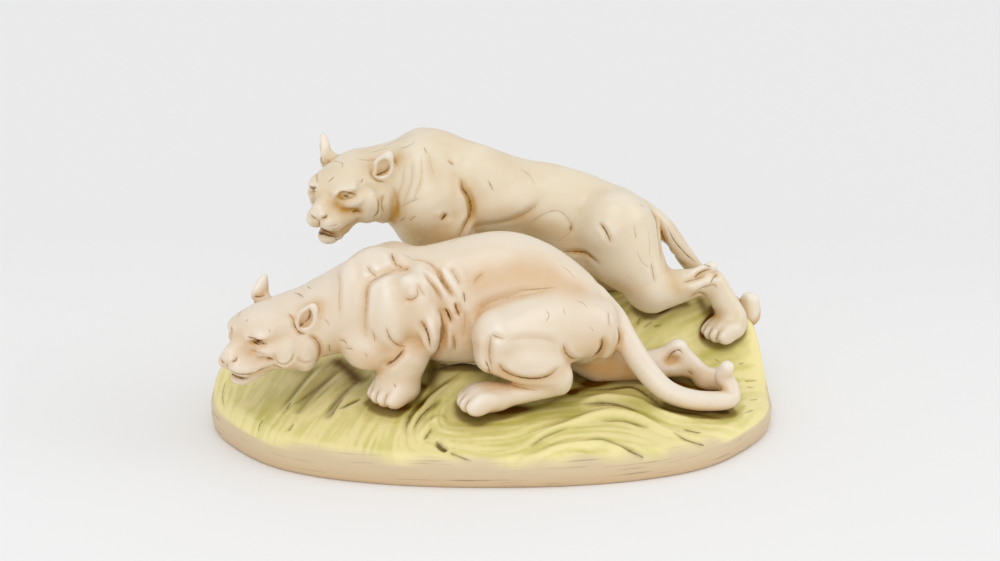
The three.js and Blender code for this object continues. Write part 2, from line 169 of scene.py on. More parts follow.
def blob(x, y, z, a, b, c, blend, yaw=0, pitch=0, roll=0, kind="join"):
    """Ellipsoid: with k0 = |p / r| and k1 = |p / r^2|, the gap is about k0 (k0 - 1) / k1."""
    centre, radii, axes = np.array([x, y, z], float), np.array([a, b, c], float), turn(yaw, pitch, roll)

    def gap(points):
        own = (points - centre) @ axes
        k0 = np.sqrt(((own / radii) ** 2).sum(1)) + 1e-9
        k1 = np.sqrt(((own / radii ** 2) ** 2).sum(1)) + 1e-9
        return k0 * (k0 - 1) / k1

    reach = np.abs(axes) @ radii
    return Form(gap, centre - reach, centre + reach, blend, kind)


def dent(*sizes):
    """An ellipsoid taken away."""
    return blob(*sizes, kind="cut")


def bone(ax, ay, az, ar, bx, by, bz, br, blend):
    """Round bar from a to b: distance to the line between them, less a radius that runs from ar to br."""
    a, b = np.array([ax, ay, az], float), np.array([bx, by, bz], float)
    line = b - a

    def gap(points):
        share = np.clip((points - a) @ line / (line @ line), 0, 1)
        return np.sqrt(((points - a - share[:, None] * line) ** 2).sum(1)) - ar - share * (br - ar)

    wide = max(ar, br)
    return Form(gap, np.minimum(a, b) - wide, np.maximum(a, b) + wide, blend, "join")


def course(points, count):
    """Smooth curve through the rows of points, as count rows evenly spread over its spans. Each span is a
    cubic whose slope at a point is half the step from the point before to the point after."""
    p = np.array(points, float)
    p = np.vstack([2 * p[0] - p[1], p, 2 * p[-1] - p[-2]])
    t = np.linspace(0, len(p) - 3, count)
    i = np.minimum(t.astype(int), len(p) - 4)
    u = (t - i)[:, None]
    a, b, c, d = p[i], p[i + 1], p[i + 2], p[i + 3]
    return 0.5 * (2 * b + (c - a) * u + (2 * a - 5 * b + 4 * c - d) * u ** 2
                  + (3 * b - a - 3 * c + d) * u ** 3)


def rope(points, blend):
    """A tail: round bars end to end along a curve through points given as x, y, z and radius."""
    along = course(points, 4 * len(points))
    links = [bone(*a, *b, 0) for a, b in zip(along[:-1], along[1:])]

    def gap(points):
        return np.min([link.gap(points) for link in links], axis=0)

    low = np.min([link.low for link in links], axis=0)
    high = np.max([link.high for link in links], axis=0)
    return Form(gap, low, high, blend, "join")


def place(forms, x, y, z, yaw, pitch=0, roll=0, scale=1.0):
    """Forms made in a frame of their own, set down in the group."""
    origin, axes = np.array([x, y, z], float), turn(yaw, pitch, roll)
    placed = []
    for form in forms:
        def gap(points, form=form):
            return form.gap((points - origin) @ axes / scale) * scale
        middle = origin + axes @ (form.low + form.high) / 2 * scale
        half = np.abs(axes) @ (form.high - form.low) / 2 * scale
        placed.append(Form(gap, middle - half, middle + half, form.blend * scale, form.kind))
    return placed


def smooth(value):
    """Rises from 0 to 1 with level ends."""
    v = np.clip(value, 0, 1)
    return v * v * (3 - 2 * v)


def melt(a, b, width):
    """Smooth minimum of two distances: mixed in the share h, less width h (1 - h)."""
    h = np.clip(0.5 + 0.5 * (b - a) / width, 0, 1)
    return b * (1 - h) + a * h - width * h * (1 - h)


def depth_at(forms, points):
    """Distance from points to the body: forms are joined, cut away or pressed in, one after the other."""
    depth = np.full(len(points), FAR)
    for form in forms:
        reach = form.blend + MARGIN
        near = np.all((points > form.low - reach) & (points < form.high + reach), axis=1).nonzero()[0]
        if not len(near):
            continue
        gap = form.gap(points[near])
        if form.kind == "press":
            depth[near] += gap
        elif form.kind == "cut":
            depth[near] = -melt(-depth[near], gap, form.blend)
        else:
            depth[near] = melt(depth[near], gap, form.blend)
    return depth


def slope_at(forms, points, step=0.4):
    """Gradient of the depth, by central differences."""
    sides = [depth_at(forms, points + s * step * axis) for axis in np.eye(3) for s in (1, -1)]
    return np.stack([(a - b) / (2 * step) for a, b in zip(sides[::2], sides[1::2])], axis=1)


def settle(forms, points, rounds=5):
    """Moves points onto the body's skin along the gradient."""
    for _ in range(rounds):
        slope = slope_at(forms, points)
        points = points - slope * (depth_at(forms, points) / ((slope ** 2).sum(1) + 1e-6))[:, None]
    return points


def sight(stage, uv):
    """Camera place in mm, and the unit directions of the sight lines through pixels of the picture."""
    ahead = np.array([0, np.cos(stage.pitch), -np.sin(stage.pitch)])
    up = np.array([0, np.sin(stage.pitch), np.cos(stage.pitch)])
    focal = stage.lens / SENSOR * PICTURE[0]
    offset = (np.asarray(uv, float) - np.array(PICTURE) / 2) / focal
    rays = ahead + offset[:, :1] * np.array([1.0, 0, 0]) - offset[:, 1:] * up
    return np.array(stage.place) / MM, rays / np.linalg.norm(rays, axis=1)[:, None]


def cast(depth, stage, uv):
    """Where the sight lines first meet a body, stepping by its depth until it is near nought."""
    eye, rays = sight(stage, uv)
    far = np.full(len(rays), CAST_FROM)
    for _ in range(CAST_STEPS):
        far += CAST_SHARE * depth(eye + rays * far[:, None])
    return eye + rays * far[:, None]


# Creases: a smooth path on the skin, pressed in or raised, and lined with brown

Crease = namedtuple("Crease", "path width depth ink")

LIP_AT, LIP_WIDTH = 2.3, 1.3    # place and width of the swollen lips beside a crease, in its own widths
LIP_SHARE = 0.28                # their height, as a share of its depth
CREASE_REACH = 4.5              # widths beyond which a crease no longer shows in the skin
LINE_SHARE, LINE_LEAST = 0.2, 0.12  # half-width of a brown line: a share of the crease's, plus some mm
LINE_REACH = 4.0                # quads further than this from a line carry none, in mm
UNLINED = 8.0                   # half-widths from a line, where there is none
BEYOND = 21.0   # strokes further than this to an animal's left, in mm, are repeated on its right
SLIP = 14.0     # unless they settle further than this from their mirrored place, in mm


def nearest(path, points):
    """Nearest place of a path of straight links, for each point: the gap to it, how far along the path it
    lies from 0 to 1, the offset from it, and the run of its link."""
    gap, share = np.full(len(points), 1e9), np.zeros(len(points))
    offset, run = np.zeros_like(points), np.zeros_like(points)
    for i, (a, b) in enumerate(zip(path[:-1], path[1:])):
        link = b - a
        t = np.clip((points - a) @ link / (link @ link + 1e-9), 0, 1)
        away = points - a - t[:, None] * link
        far = np.sqrt((away ** 2).sum(1))
        closer = far < gap
        gap[closer], share[closer] = far[closer], (i + t[closer]) / (len(path) - 1)
        offset[closer], run[closer] = away[closer], link
    return gap, share, offset, run


def fade(share):
    """Weight along a stroke at the share t of its way: 5.5 t (1 - t), but at most 1."""
    return np.minimum(1, 5.5 * share * (1 - share))


def groove(crease, gap, share):
    """Lowering of the skin: a bell exp(-(gap / width)^2) across the crease, less lower and wider bells for
    the softly swollen lips beside it."""
    bell = np.exp(-(gap / crease.width) ** 2)
    lips = np.exp(-((gap - LIP_AT * crease.width) / (LIP_WIDTH * crease.width)) ** 2)
    return crease.depth * fade(share) * (bell - LIP_SHARE * lips)


def pressed(crease):
    """The crease as a form that is added to the depth near it."""
    reach = CREASE_REACH * crease.width

    def gap(points):
        return groove(crease, *nearest(crease.path, points)[:2])

    return Form(gap, crease.path.min(0) - reach, crease.path.max(0) + reach, 0, "press")


def line_marks(creases, points, quads, outward):
    """Marks for brown lines. At each corner of a quad, across is the distance over the skin from the one line
    that lies nearest to the quad, signed so that it runs straight through nought, in the line's half-widths,
    and ink is that line's strength. At each vertex, wash is a wider soft stain about the lines, partly
    painted shade in the crease, stronger beside deeper creases."""
    across, ink = np.full(quads.shape, UNLINED), np.zeros(quads.shape)
    best = np.full(len(quads), LINE_REACH)
    wash, side, strength = np.zeros((3, len(points)))
    for crease in creases:
        if crease.ink <= 0:
            continue
        half, deep = LINE_SHARE * crease.width + LINE_LEAST, abs(crease.depth) + 1
        reach = LINE_REACH + 2 * crease.width + deep
        low, high = crease.path.min(0) - reach, crease.path.max(0) + reach
        near = np.all((points > low) & (points < high), axis=1).nonzero()[0]
        gap, share, offset, run = nearest(crease.path, points[near])
        beside = np.cross(outward[near], run)
        beside /= np.linalg.norm(beside, axis=1)[:, None] + 1e-9
        sideways = (offset * beside).sum(1)
        upright = np.sqrt(np.maximum(gap ** 2 - sideways ** 2, 0))
        gap = np.hypot(sideways, 2 * np.maximum(upright - deep, 0))
        away = np.full(len(points), FAR)
        away[near], side[near], strength[near] = gap, sideways / half, crease.ink * fade(share)
        furthest = away[quads].max(1)
        closer = furthest < best
        best[closer] = furthest[closer]
        across[closer], ink[closer] = side[quads[closer]], strength[quads[closer]]
        # soft stain and painted shade beside the line, stronger for a deeper crease
        soft = strength[near] * min(1, abs(crease.depth) / 2) * np.exp(-(gap / (0.9 * crease.width)) ** 2)
        wash[near] = np.maximum(wash[near], soft)
    return {"across": across, "ink": ink, "wash": wash}


def drawn(forms, stage, strokes, origin, axes):
    """Creases from strokes drawn in the picture. Those well to the left of the animal's mid-plane, in the
    frame of its body or head, are mirrored in it and settled onto the hidden side, a little fainter."""
    courses = [course(uv, 4 * len(uv)) for _, _, _, *uv in strokes]
    ends = np.cumsum([len(path) for path in courses])[:-1]
    met = cast(lambda p: depth_at(forms, p), stage, np.concatenate(courses))
    own = (met - origin) @ axes
    mirrored = own * [1, -1, 1] @ axes.T + origin
    resting = settle(forms, mirrored)
    moved = np.linalg.norm(resting - mirrored, axis=1)
    creases = []
    each = [np.split(values, ends) for values in (met, own[:, 1], resting, moved)]
    for stroke, path, left, other, slipped in zip(strokes, *each):
        width, depth, ink = stroke[:3]
        creases.append(Crease(path, width, depth, ink))
        if left.mean() > BEYOND and slipped.max() < SLIP:
            creases.append(Crease(other, width, 0.8 * depth, 0.8 * ink))
    return creases


def laid(forms, strokes, frames):
    """Creases from strokes in frames of their own, such as those of the paws, settled onto the skin."""
    paths = [course(points, 4 * len(points)) * scale @ turn(yaw, pitch, roll).T + [x, y, z]
             for x, y, z, yaw, pitch, roll, scale in frames for _, _, _, *points in strokes]
    ends = np.cumsum([len(path) for path in paths])[:-1]
    resting = np.split(settle(forms, np.concatenate(paths)), ends)
    return [Crease(path, *stroke[:3]) for path, stroke in zip(resting, list(strokes) * len(frames))]


# Anatomy. Heads: x, y, z between the eyes in mm, then yaw, pitch and roll in degrees. Paws: the same for
# the palm, and the scale. Bodies: the mid-plane's y.

CROUCHING_HEAD = (-214, -77, 113, 228, -3, -6)
STALKING_HEAD = (-147, 20, 217, 243, -8, -4)
CROUCHING_PAWS = ((-84, -6, 50, 180, 0, 0, 1), (-83, -64, 56, 222, 0, 0, 1.12),
                  (-4, -86, 57, 198, 0, 0, 1.1), (206, -10, 44, 0, 0, 0, 0.85))
STALKING_PAWS = ((-66, 46, 76, 184, 0, 0, 1.1), (-90, 106, 78, 184, 0, 0, 1.1),
                 (223, 43, 75, 214, 0, 0, 1.02), (80, 108, 80, 180, 0, 0, 1.05))
CROUCHING_MIDDLE, STALKING_MIDDLE = -33, 78
FACE_CENTRE = (-10.0, 4, -12)   # the middle of the face, in the head's own frame


def head(gape, crown, ear, away):
    """Head: x forward, y to the animal's left, z up, 0 midway between the eyes. gape opens the jaw, crown
    raises the skull, ear is half the width of the right ear, and away is how far that ear is turned."""
    forms = [
        blob(-38, 0, -8 + 0.6 * crown, 38, 29, 26, 12),       # skull
        blob(-15, 0, -1 + crown, 20, 22, 12, 10, 0, -14),     # forehead
        bone(-9, 0, -2, 11.5, 15.5, 0, -12.5, 7.6, 8),        # bridge of the nose
        blob(4, 0, -20, 16, 14, 11, 8),                       # upper jaw
        blob(-36, 0, -22, 24, 19, 17, 10),                    # throat
    ]
    for s in (1, -1):
        drop = 2 + 2 * s                                      # the ear nearer the viewer is carried lower
        wide, faces = (10.5, 20) if s > 0 else (ear, away)
        pinna = [blob(0, 0, -2, 5.5, wide, 10.5, 3), blob(0, 0, 6, 4.2, wide * 0.56, 9.5, 4),
                 dent(5, 0, 0, 4, wide - 4, 8.5, 2)]
        forms += [
            blob(-12, s * 20, -9, 15, 9, 7, 7, s * -14),                            # cheekbone
            blob(-30, s * 23, -16.5 - gape, 19, 13, 16, 7),                         # jaw muscle
            blob(-23, s * 27, -15, 11, 8, 12, 4),                                   # cheek
            blob(-43, s * 30, -18.5 - gape, 14, 11, 19, 7, s * 14),                 # ruff
            blob(11.5, s * 7.6, -22.3 - gape / 5, 11.5, 8.4, 7.3 + gape / 5, 6),    # lip
            bone(8, s * 10, -24.5 - gape / 3, 7.6, -15, s * 17, -23, 7, 5),         # corner of the lip
            bone(-28, s * 15, -23, 8.5, -2, s * 7.5, -35 - gape, 5.6, 6),           # lower jaw
            blob(-3, s * 14, 2.6 + crown / 3, 11, 8.5, 4, 8, s * -22, -12),         # brow
            dent(6, s * 19, -1.5, 7, 7, 4, 3, s * 38),                              # eye socket
            blob(-2.2, s * 17, -2, 5.5, 5.5, 3.8, 1.8),                             # eyeball
            blob(-45, s * 28, 8 - drop, 8, 9, 9, 5, 0, 0, s * 25),                  # root of the ear
            *place(pinna, -45, s * 32, 18 - drop, faces, 0, s * -25),               # ear
        ]
    return forms + [
        blob(4.5, 0, -37.5 - 0.9 * gape, 10.5, 10.5, 6 + gape / 4, 4),              # chin
        blob(20.5, 0, -15, 3.8, 7.6, 4, 3),                                         # nose
        dent(12, 0, -31.5 - gape / 3, 13, 10, 1.2 + gape / 5, 1.2),                 # mouth
    ]


def paw():
    """Paw: toes along x, 0 in the palm."""
    forms = [blob(0, 0, 1, 18, 16, 12, 8)]
    for c in (-1.5, -0.5, 0.5, 1.5):
        forms.append(blob(6 - abs(c), c * 8.2, 3, 10, 5, 6, 5))
        forms.append(blob(15.5 - abs(c) * 3, c * 8.2, -2, 9.5, 5.4, 7, 4))
    return forms


def crouching_tiger():
    """The tiger in front, low over its folded near hind leg, with the far one stretched back."""
    forms = [
        # trunk
        blob(-48, -32, 128, 74, 37, 52, 20),
        blob(8, -32, 148, 62, 35, 45, 20),
        blob(54, -32, 127, 50, 34, 42, 18, 0, -26),
        blob(-8, -34, 108, 62, 30, 34, 18),
        blob(80, -34, 104, 26, 32, 32, 14),
        blob(101, -46, 107, 14, 19, 27, 6),
        # neck and breast
        bone(-96, -35, 136, 43, -162, -36, 110, 33, 16),
        blob(-122, -52, 130, 15, 22, 42, 7),
        blob(-108, -60, 99, 25, 24, 24, 8),
        # far shoulder and foreleg
        bone(-88, -12, 156, 20, -90, -4, 110, 26, 14),
        bone(-76, -6, 92, 18, -80, -6, 62, 14, 10),
        # near shoulder and foreleg
        bone(-104, -44, 160, 20, -96, -54, 128, 24, 12),
        blob(-89, -66, 130, 22, 24, 35, 7),
        blob(-62, -62, 138, 16, 22, 33, 11),
        blob(-70, -74, 156, 10, 8, 11, 9, 0, 0, 20),
        blob(-53, -65, 118, 10, 21, 26, 5),
        bone(-75, -62, 90, 21, -84, -62, 64, 19, 6),
        # near hind leg, folded under
        blob(52, -58, 115, 56, 31, 35, 9, 0, 2),
        bone(56, -58, 116, 34, 8, -75, 112, 25, 8),
        blob(33, -84, 92, 32, 17, 20, 5, 0, -6),
        bone(2, -80, 96, 17, 58, -80, 76, 14, 5),
        bone(60, -77, 68, 11, 10, -84, 58, 10, 5),
        # far hind leg, stretched back
        blob(86, -12, 86, 36, 26, 32, 12, 0, -20),
        bone(100, -12, 66, 22, 148, -9, 56, 11, 10),
        bone(136, -8, 58, 8, 172, -7, 75, 7, 6),
        bone(146, -9, 58, 11, 176, -9, 57, 9, 8),
        bone(171, -7, 74, 8, 196, -10, 46, 10, 6),
        dent(165, -19, 66, 7, 6, 4.5, 3, 0, 25),
        # tail
        rope([(92, -33, 130, 14), (109, -36, 113, 12.6), (120, -42, 96, 11.6), (137, -50, 72, 10.7),
              (155, -60, 55, 9.9), (178, -64, 47, 9.2), (203, -60, 44, 8.8), (215, -54, 45, 8.5),
              (214, -48, 54, 8), (208, -46, 62, 7.5), (211, -50, 72, 6.5)], 4),
        *place(head(1.5, 6, 9.5, -84), *CROUCHING_HEAD),
    ]
    return sum([place(paw(), *at) for at in CROUCHING_PAWS], forms)


def stalking_tiger():
    """The tiger behind, striding down the slope."""
    forms = [
        # trunk
        blob(-32, 78, 201, 70, 36, 49, 20, 0, -8),
        blob(42, 78, 191, 64, 33, 38, 20, 0, -5),
        blob(100, 77, 176, 50, 33, 34, 18, 0, -20),
        blob(78, 72, 163, 44, 28, 28, 12, 0, -14),
        blob(132, 76, 158, 28, 29, 28, 14),
        blob(93, 68, 143, 32, 24, 24, 12),
        blob(-62, 66, 180, 32, 28, 34, 14),
        blob(6, 56, 191, 40, 15, 15, 8, 0, 14),
        blob(54, 60, 181, 24, 14, 15, 10, 0, -8),
        # neck and withers
        bone(-66, 78, 212, 43, -118, 76, 209, 33, 12),
        blob(-56, 80, 224, 36, 26, 35, 12, 0, -6),
        # shoulders and forelegs
        bone(-66, 62, 231, 22, -58, 52, 192, 27, 12),
        bone(-66, 94, 233, 22, -58, 102, 192, 26, 12),
        bone(-56, 50, 200, 25, -46, 48, 178, 20, 10),
        blob(-30, 50, 195, 9, 17, 25, 6, 0, 12),
        bone(-36, 48, 172, 18, -56, 46, 104, 13, 10),
        bone(-56, 106, 190, 25, -50, 106, 160, 19, 12),
        bone(-50, 106, 160, 18, -80, 106, 98, 13, 10),
        # near hind leg, pushing off
        bone(116, 58, 170, 36, 146, 47, 120, 24, 12),
        blob(120, 50, 142, 30, 22, 26, 8, 0, -50),
        blob(112, 46, 178, 22, 18, 28, 12, 0, -24),
        bone(152, 46, 111, 20, 203, 52, 121, 12, 8),
        bone(184, 48, 125, 5.5, 207, 47, 136, 5, 2.5),
        bone(210, 52, 117, 12.5, 229, 48, 86, 12.5, 7),
        # far hind leg, under the belly
        bone(118, 96, 166, 32, 104, 106, 124, 21, 14),
        bone(104, 106, 122, 18, 124, 108, 98, 12, 10),
        bone(124, 108, 98, 11, 92, 108, 80, 11, 8),
        # tail
        rope([(142, 75, 180, 13), (160, 78, 168, 10.5), (172, 84, 154, 9), (188, 88, 131, 8.5),
              (206, 92, 108, 8.5), (224, 90, 92, 9), (239, 80, 80, 10.5), (247, 72, 79, 11.5),
              (248, 74, 92, 9.5)], 4),
        *place(head(6, 1, 6.5, -50), *STALKING_HEAD),
    ]
    return sum([place(paw(), *at) for at in STALKING_PAWS], forms)


# Each stroke is a width and depth in mm, a share of brown, and its course through pixels of the picture
CROUCHING_STROKES = (
    # front of the shoulder
    (3.2, 2.4, 0.3, (366, 338), (364, 320), (365, 304), (366, 291), (370, 282), (379, 276), (394, 270),
     (407, 267)),
    (2.4, 1.6, 0.5, (366, 265), (371, 272), (377, 277)),
    (3.0, 2.2, 0.7, (392, 252), (394, 259), (398, 267)),
    (2.6, 1.6, 0.5, (397, 263), (403, 268), (410, 268)),
    # folds of skin behind the shoulder
    (1.6, 1.0, 0.35, (409, 258.5), (420, 260), (430, 263.5), (437, 270), (440, 276)),
    (4.2, -3.0, 0.0, (427, 269), (434, 279), (440, 288), (446, 297), (452, 306), (455, 314)),
    (4.2, -3.0, 0.0, (441, 265), (447, 276), (454, 286), (459, 295), (461, 306)),
    (1.7, 2.6, 0.45, (424, 272), (430, 281), (437, 291), (442, 301)),
    (1.7, 2.6, 0.45, (438, 269), (442, 280), (448, 289), (453, 297)),
    (1.7, 1.8, 0.4, (450, 267), (456, 277), (461, 286)),
    (3.0, 2.8, 1.0, (445, 308), (448, 315), (451.5, 323)),
    (3.0, 2.8, 1.0, (454.5, 302), (457, 309), (460, 317)),
    (2.0, 1.0, 0.9, (463.5, 292), (464.5, 297), (465, 303)),
    (2.8, 2.4, 0.6, (440, 307), (443, 320), (443, 334), (439, 348), (431, 361)),
    (3.2, -2.0, 0.0, (446, 322), (449, 335), (450, 350)),
    (1.8, 1.4, 0.5, (453, 334), (455, 343), (455, 352)),
    (3.0, 1.4, 0.15, (464, 308), (465, 322), (463, 340)),
    (2.2, 1.4, 0.3, (417, 283), (421, 290), (426, 297)),
    # shoulder and foreleg
    (3.0, 3.2, 1.0, (421, 320), (425, 330), (428, 338), (431, 350)),
    (2.2, 1.4, 0.5, (417, 287), (418, 295), (411, 300), (404, 298)),
    (2.2, 1.2, 0.6, (386, 326), (388, 334), (392, 341), (400, 346), (408, 346)),
    (3.0, 2.6, 0.9, (405, 348), (400, 354), (393, 361), (384, 366)),
    (1.8, 0.8, 0.6, (372, 330), (374, 337), (375, 342)),
    (1.8, 0.6, 0.6, (338, 340), (344, 341), (347, 346)),
    (1.8, 0.6, 0.5, (344, 348), (353, 349)),
    (1.8, 0.6, 0.7, (365, 353), (367, 357)),
    # neck
    (3.0, 0.9, 0.2, (337, 270), (339, 282), (339, 300), (340, 322)),
    (1.6, 0.5, 0.6, (325, 319), (330, 326)),
    (1.6, 0.6, 0.7, (329, 344), (330, 352)),
    (1.6, 0.5, 0.7, (293, 292.5), (299, 294), (304, 298)),
    (1.5, 0.3, 0.6, (307, 286), (311, 289)),
    (1.5, 0.3, 0.6, (306, 282.5), (312, 281)),
    # flank
    (3.6, 1.6, 0.15, (474, 322), (479, 311), (487, 304), (497, 300), (512, 296.5), (531, 293.5), (556, 290)),
    (1.8, 0.5, 0.5, (516, 291), (536, 289), (557, 287)),
    (2.4, 1.2, 0.3, (472, 286), (477, 278), (484, 272)),
    (1.4, 0.2, 0.5, (447, 243), (458, 239), (470, 235)),
    (1.4, 0.2, 0.4, (492, 233), (510, 232)),
    # hind leg
    (3.4, 2.4, 0.45, (491, 334), (489, 346), (489, 358), (493, 372)),
    (1.8, 1.2, 0.9, (485, 360), (488, 367), (490, 375)),
    (2.4, 1.4, 0.5, (491, 334), (497, 337), (506, 339)),
    (3.4, 2.6, 0.9, (499, 362), (503, 371), (514, 377), (531, 380), (548, 377), (560, 366)),
    (3.2, 1.3, 0.1, (505, 341), (525, 338), (545, 339), (560, 345)),
    (2.6, 1.6, 0.7, (563, 343), (566, 353), (572, 359), (578, 360)),
    (3.2, 3.0, 1.0, (602, 337), (603, 346), (599, 353), (591, 359)),
    (2.0, 1.0, 0.5, (609, 312), (610, 328)),
    (2.2, 1.8, 0.8, (618, 325), (620, 336), (618, 346)),
    (1.4, 0.2, 0.6, (545, 309), (549, 315), (546, 322)),
    (1.4, 0.2, 0.5, (563, 308), (565, 314)),
    (1.4, 0.2, 0.5, (590, 326), (594, 332)),
    (1.8, 0.6, 0.6, (510, 384), (522, 388), (540, 391)),
    (2.0, 1.0, 1.0, (668, 361), (672, 353), (679, 350), (683, 354)),
    (2.0, 0.8, 0.9, (688, 371), (693, 375)),
    (1.6, 0.5, 0.7, (394, 384), (396, 388)),
    (1.4, 0.2, 0.4, (402, 254), (409, 257), (415, 262)),
    (1.4, 0.2, 0.4, (575, 300), (583, 303), (588, 309)),
    (1.4, 0.2, 0.4, (560, 265), (569, 271), (576, 279)),
)

CROUCHING_FACE = (
    (3.4, 1.0, 1.0, (246.5, 336.3), (251, 337.8), (257, 341), (263, 343.4), (268, 344)),
    (4.4, 0.2, 1.0, (252.5, 340.6), (256.5, 343.2), (261, 344.8)),
    (3.0, 0.6, 0.8, (272, 365.2), (277, 366.5), (282, 368.6)),
    (1.3, 0.8, 1.0, (230.5, 326), (231.6, 330), (231.2, 334)),
    (1.6, 0.3, 0.8, (245, 322), (248.5, 318.5)),
    (1.4, 1.2, 1.0, (237, 356.5), (236, 360), (231, 362.5)),
    (1.4, 1.0, 0.9, (220.8, 358), (222, 362), (225, 363.5)),
    (1.2, 0.8, 0.8, (226.8, 364), (227.5, 368)),
    (2.2, 1.2, 1.0, (227, 367.5), (231, 371.5), (237, 374.3), (246, 375), (255, 373.5), (263, 369.5),
     (273, 366)),
    (4.0, 1.0, 1.0, (229, 370.5), (234, 375), (241, 378), (250, 378.5)),
    (2.4, 1.2, 0.2, (250, 350), (258, 353), (266, 356)),
    (1.6, 1.2, 0.8, (267, 358), (270, 358.8), (274, 360)),
    (1.4, 1.2, 0.35, (274.5, 354), (276.5, 361), (282, 364.5), (288, 363.5), (293, 358), (294, 352)),
    (1.4, 1.0, 0.25, (297, 356), (301, 361.5), (307, 363), (314, 360.5)),
    (2.0, 2.0, 0.6, (308, 335), (315, 339), (320, 347), (320, 356), (316, 362)),
    (2.6, 1.6, 0.8, (308, 307), (309.5, 313), (308, 319), (302, 324), (298, 329)),
    (2.0, 1.4, 0.8, (288, 313), (293, 318), (295, 326), (300, 333), (307, 334)),
    (1.6, 1.0, 0.9, (253, 296.5), (259, 296.8), (266, 294.5)),
    (1.4, 0.3, 0.6, (247, 302), (242, 309), (237, 318)),
    (1.4, 0.2, 0.6, (269, 329), (270, 333)),
)

STALKING_STROKES = (
    # shoulder and ribs
    (2.8, 2.6, 0.8, (461, 177), (463, 188), (468, 196), (471, 206), (470, 217), (464, 228), (457, 241)),
    (1.8, 0.8, 0.7, (448, 160), (454, 165.5)),
    (2.8, 2.4, 1.0, (441, 221), (444, 217.5), (447, 213.5)),
    (1.8, 0.6, 0.7, (488, 180), (491, 186), (493, 191)),
    (3.4, -0.7, 0.0, (436, 147), (446, 149), (454, 157), (459, 170)),
    (3.0, 0.8, 0.1, (428, 150), (431, 165), (436, 180)),
    (3.2, 1.2, 0.2, (471, 226), (484, 225), (500, 223), (519, 217), (533, 208), (539, 201)),
    (3.2, 0.4, 0.3, (526, 229), (534, 220), (545, 213.5), (556, 210.5), (565, 215), (571.5, 226), (568, 234),
     (555, 242)),
    (1.6, 0.8, 0.9, (571.5, 224), (570, 231)),
    (2.4, 1.6, 0.7, (560, 252), (574, 252), (585, 253), (592, 258), (601, 265)),
    (1.6, 0.5, 0.7, (594, 176), (606, 180), (616, 184)),
    (1.6, 0.5, 0.7, (612, 181), (627, 188)),
    # neck
    (2.0, 0.5, 0.2, (404, 166), (402, 184), (394, 202)),
    (2.0, 0.5, 0.2, (412, 160), (411, 182), (402, 206)),
    (2.0, 0.5, 0.2, (421, 152), (421, 178), (412, 204)),
    (1.6, 0.5, 0.35, (398, 208), (410, 202), (420, 198)),
    (1.6, 0.5, 0.7, (409, 221), (416, 216)),
    (1.5, 0.4, 0.6, (399, 222), (406, 217)),
    (1.5, 0.4, 0.6, (424, 147), (427, 154)),
    (1.5, 0.4, 0.5, (354, 158), (366, 160), (378, 159)),
    (1.5, 0.4, 0.5, (368, 153), (380, 150), (392, 146)),
    (1.5, 0.4, 0.5, (382, 147), (396, 141), (408, 136)),
    (1.4, 0.3, 0.5, (398, 149), (408, 146), (416, 141)),
    (2.4, 0.9, 0.2, (393, 186), (395, 197), (397, 208), (394, 219)),
    # thigh and hock
    (2.2, 1.4, 0.9, (599, 222), (604, 228.5), (608, 236), (611, 243)),
    (1.6, 0.3, 0.6, (634, 226), (636, 239)),
    (1.4, 0.3, 0.6, (640, 204), (644, 207)),
    (2.4, 1.4, 0.6, (650, 208), (656, 218), (658, 232), (660, 246), (662, 262)),
    (2.0, 1.0, 0.5, (651, 262), (653, 272), (655, 284)),
    (2.4, 2.0, 1.0, (694, 278), (702, 272), (711, 269)),
    (1.8, 1.0, 0.9, (709, 284), (714, 277), (718, 274)),
    (1.6, 0.6, 0.9, (703, 264), (711, 267)),
    (1.8, 0.8, 0.8, (690, 297), (700, 293), (708, 297)),
    (3.2, -2.4, 0.0, (688, 290), (702, 284), (716, 278)),
    (2.2, 1.8, 0.5, (682, 283), (694, 279), (705, 275)),
    (1.8, 0.4, 0.9, (667, 226), (674, 240), (686, 254), (697, 263)),
    (2.2, 1.4, 0.9, (660, 216), (664, 240), (676, 258), (688, 268)),
    (1.8, 0.8, 0.6, (695, 290), (712, 285), (717, 288)),
    (1.4, 0.2, 0.4, (636, 250), (642, 262), (650, 268)),
    (1.4, 0.2, 0.4, (520, 168), (530, 176), (536, 186)),
    (1.4, 0.2, 0.4, (648, 228), (650, 246), (649, 258)),
    (1.4, 0.2, 0.5, (640, 156), (650, 163), (658, 172)),
)

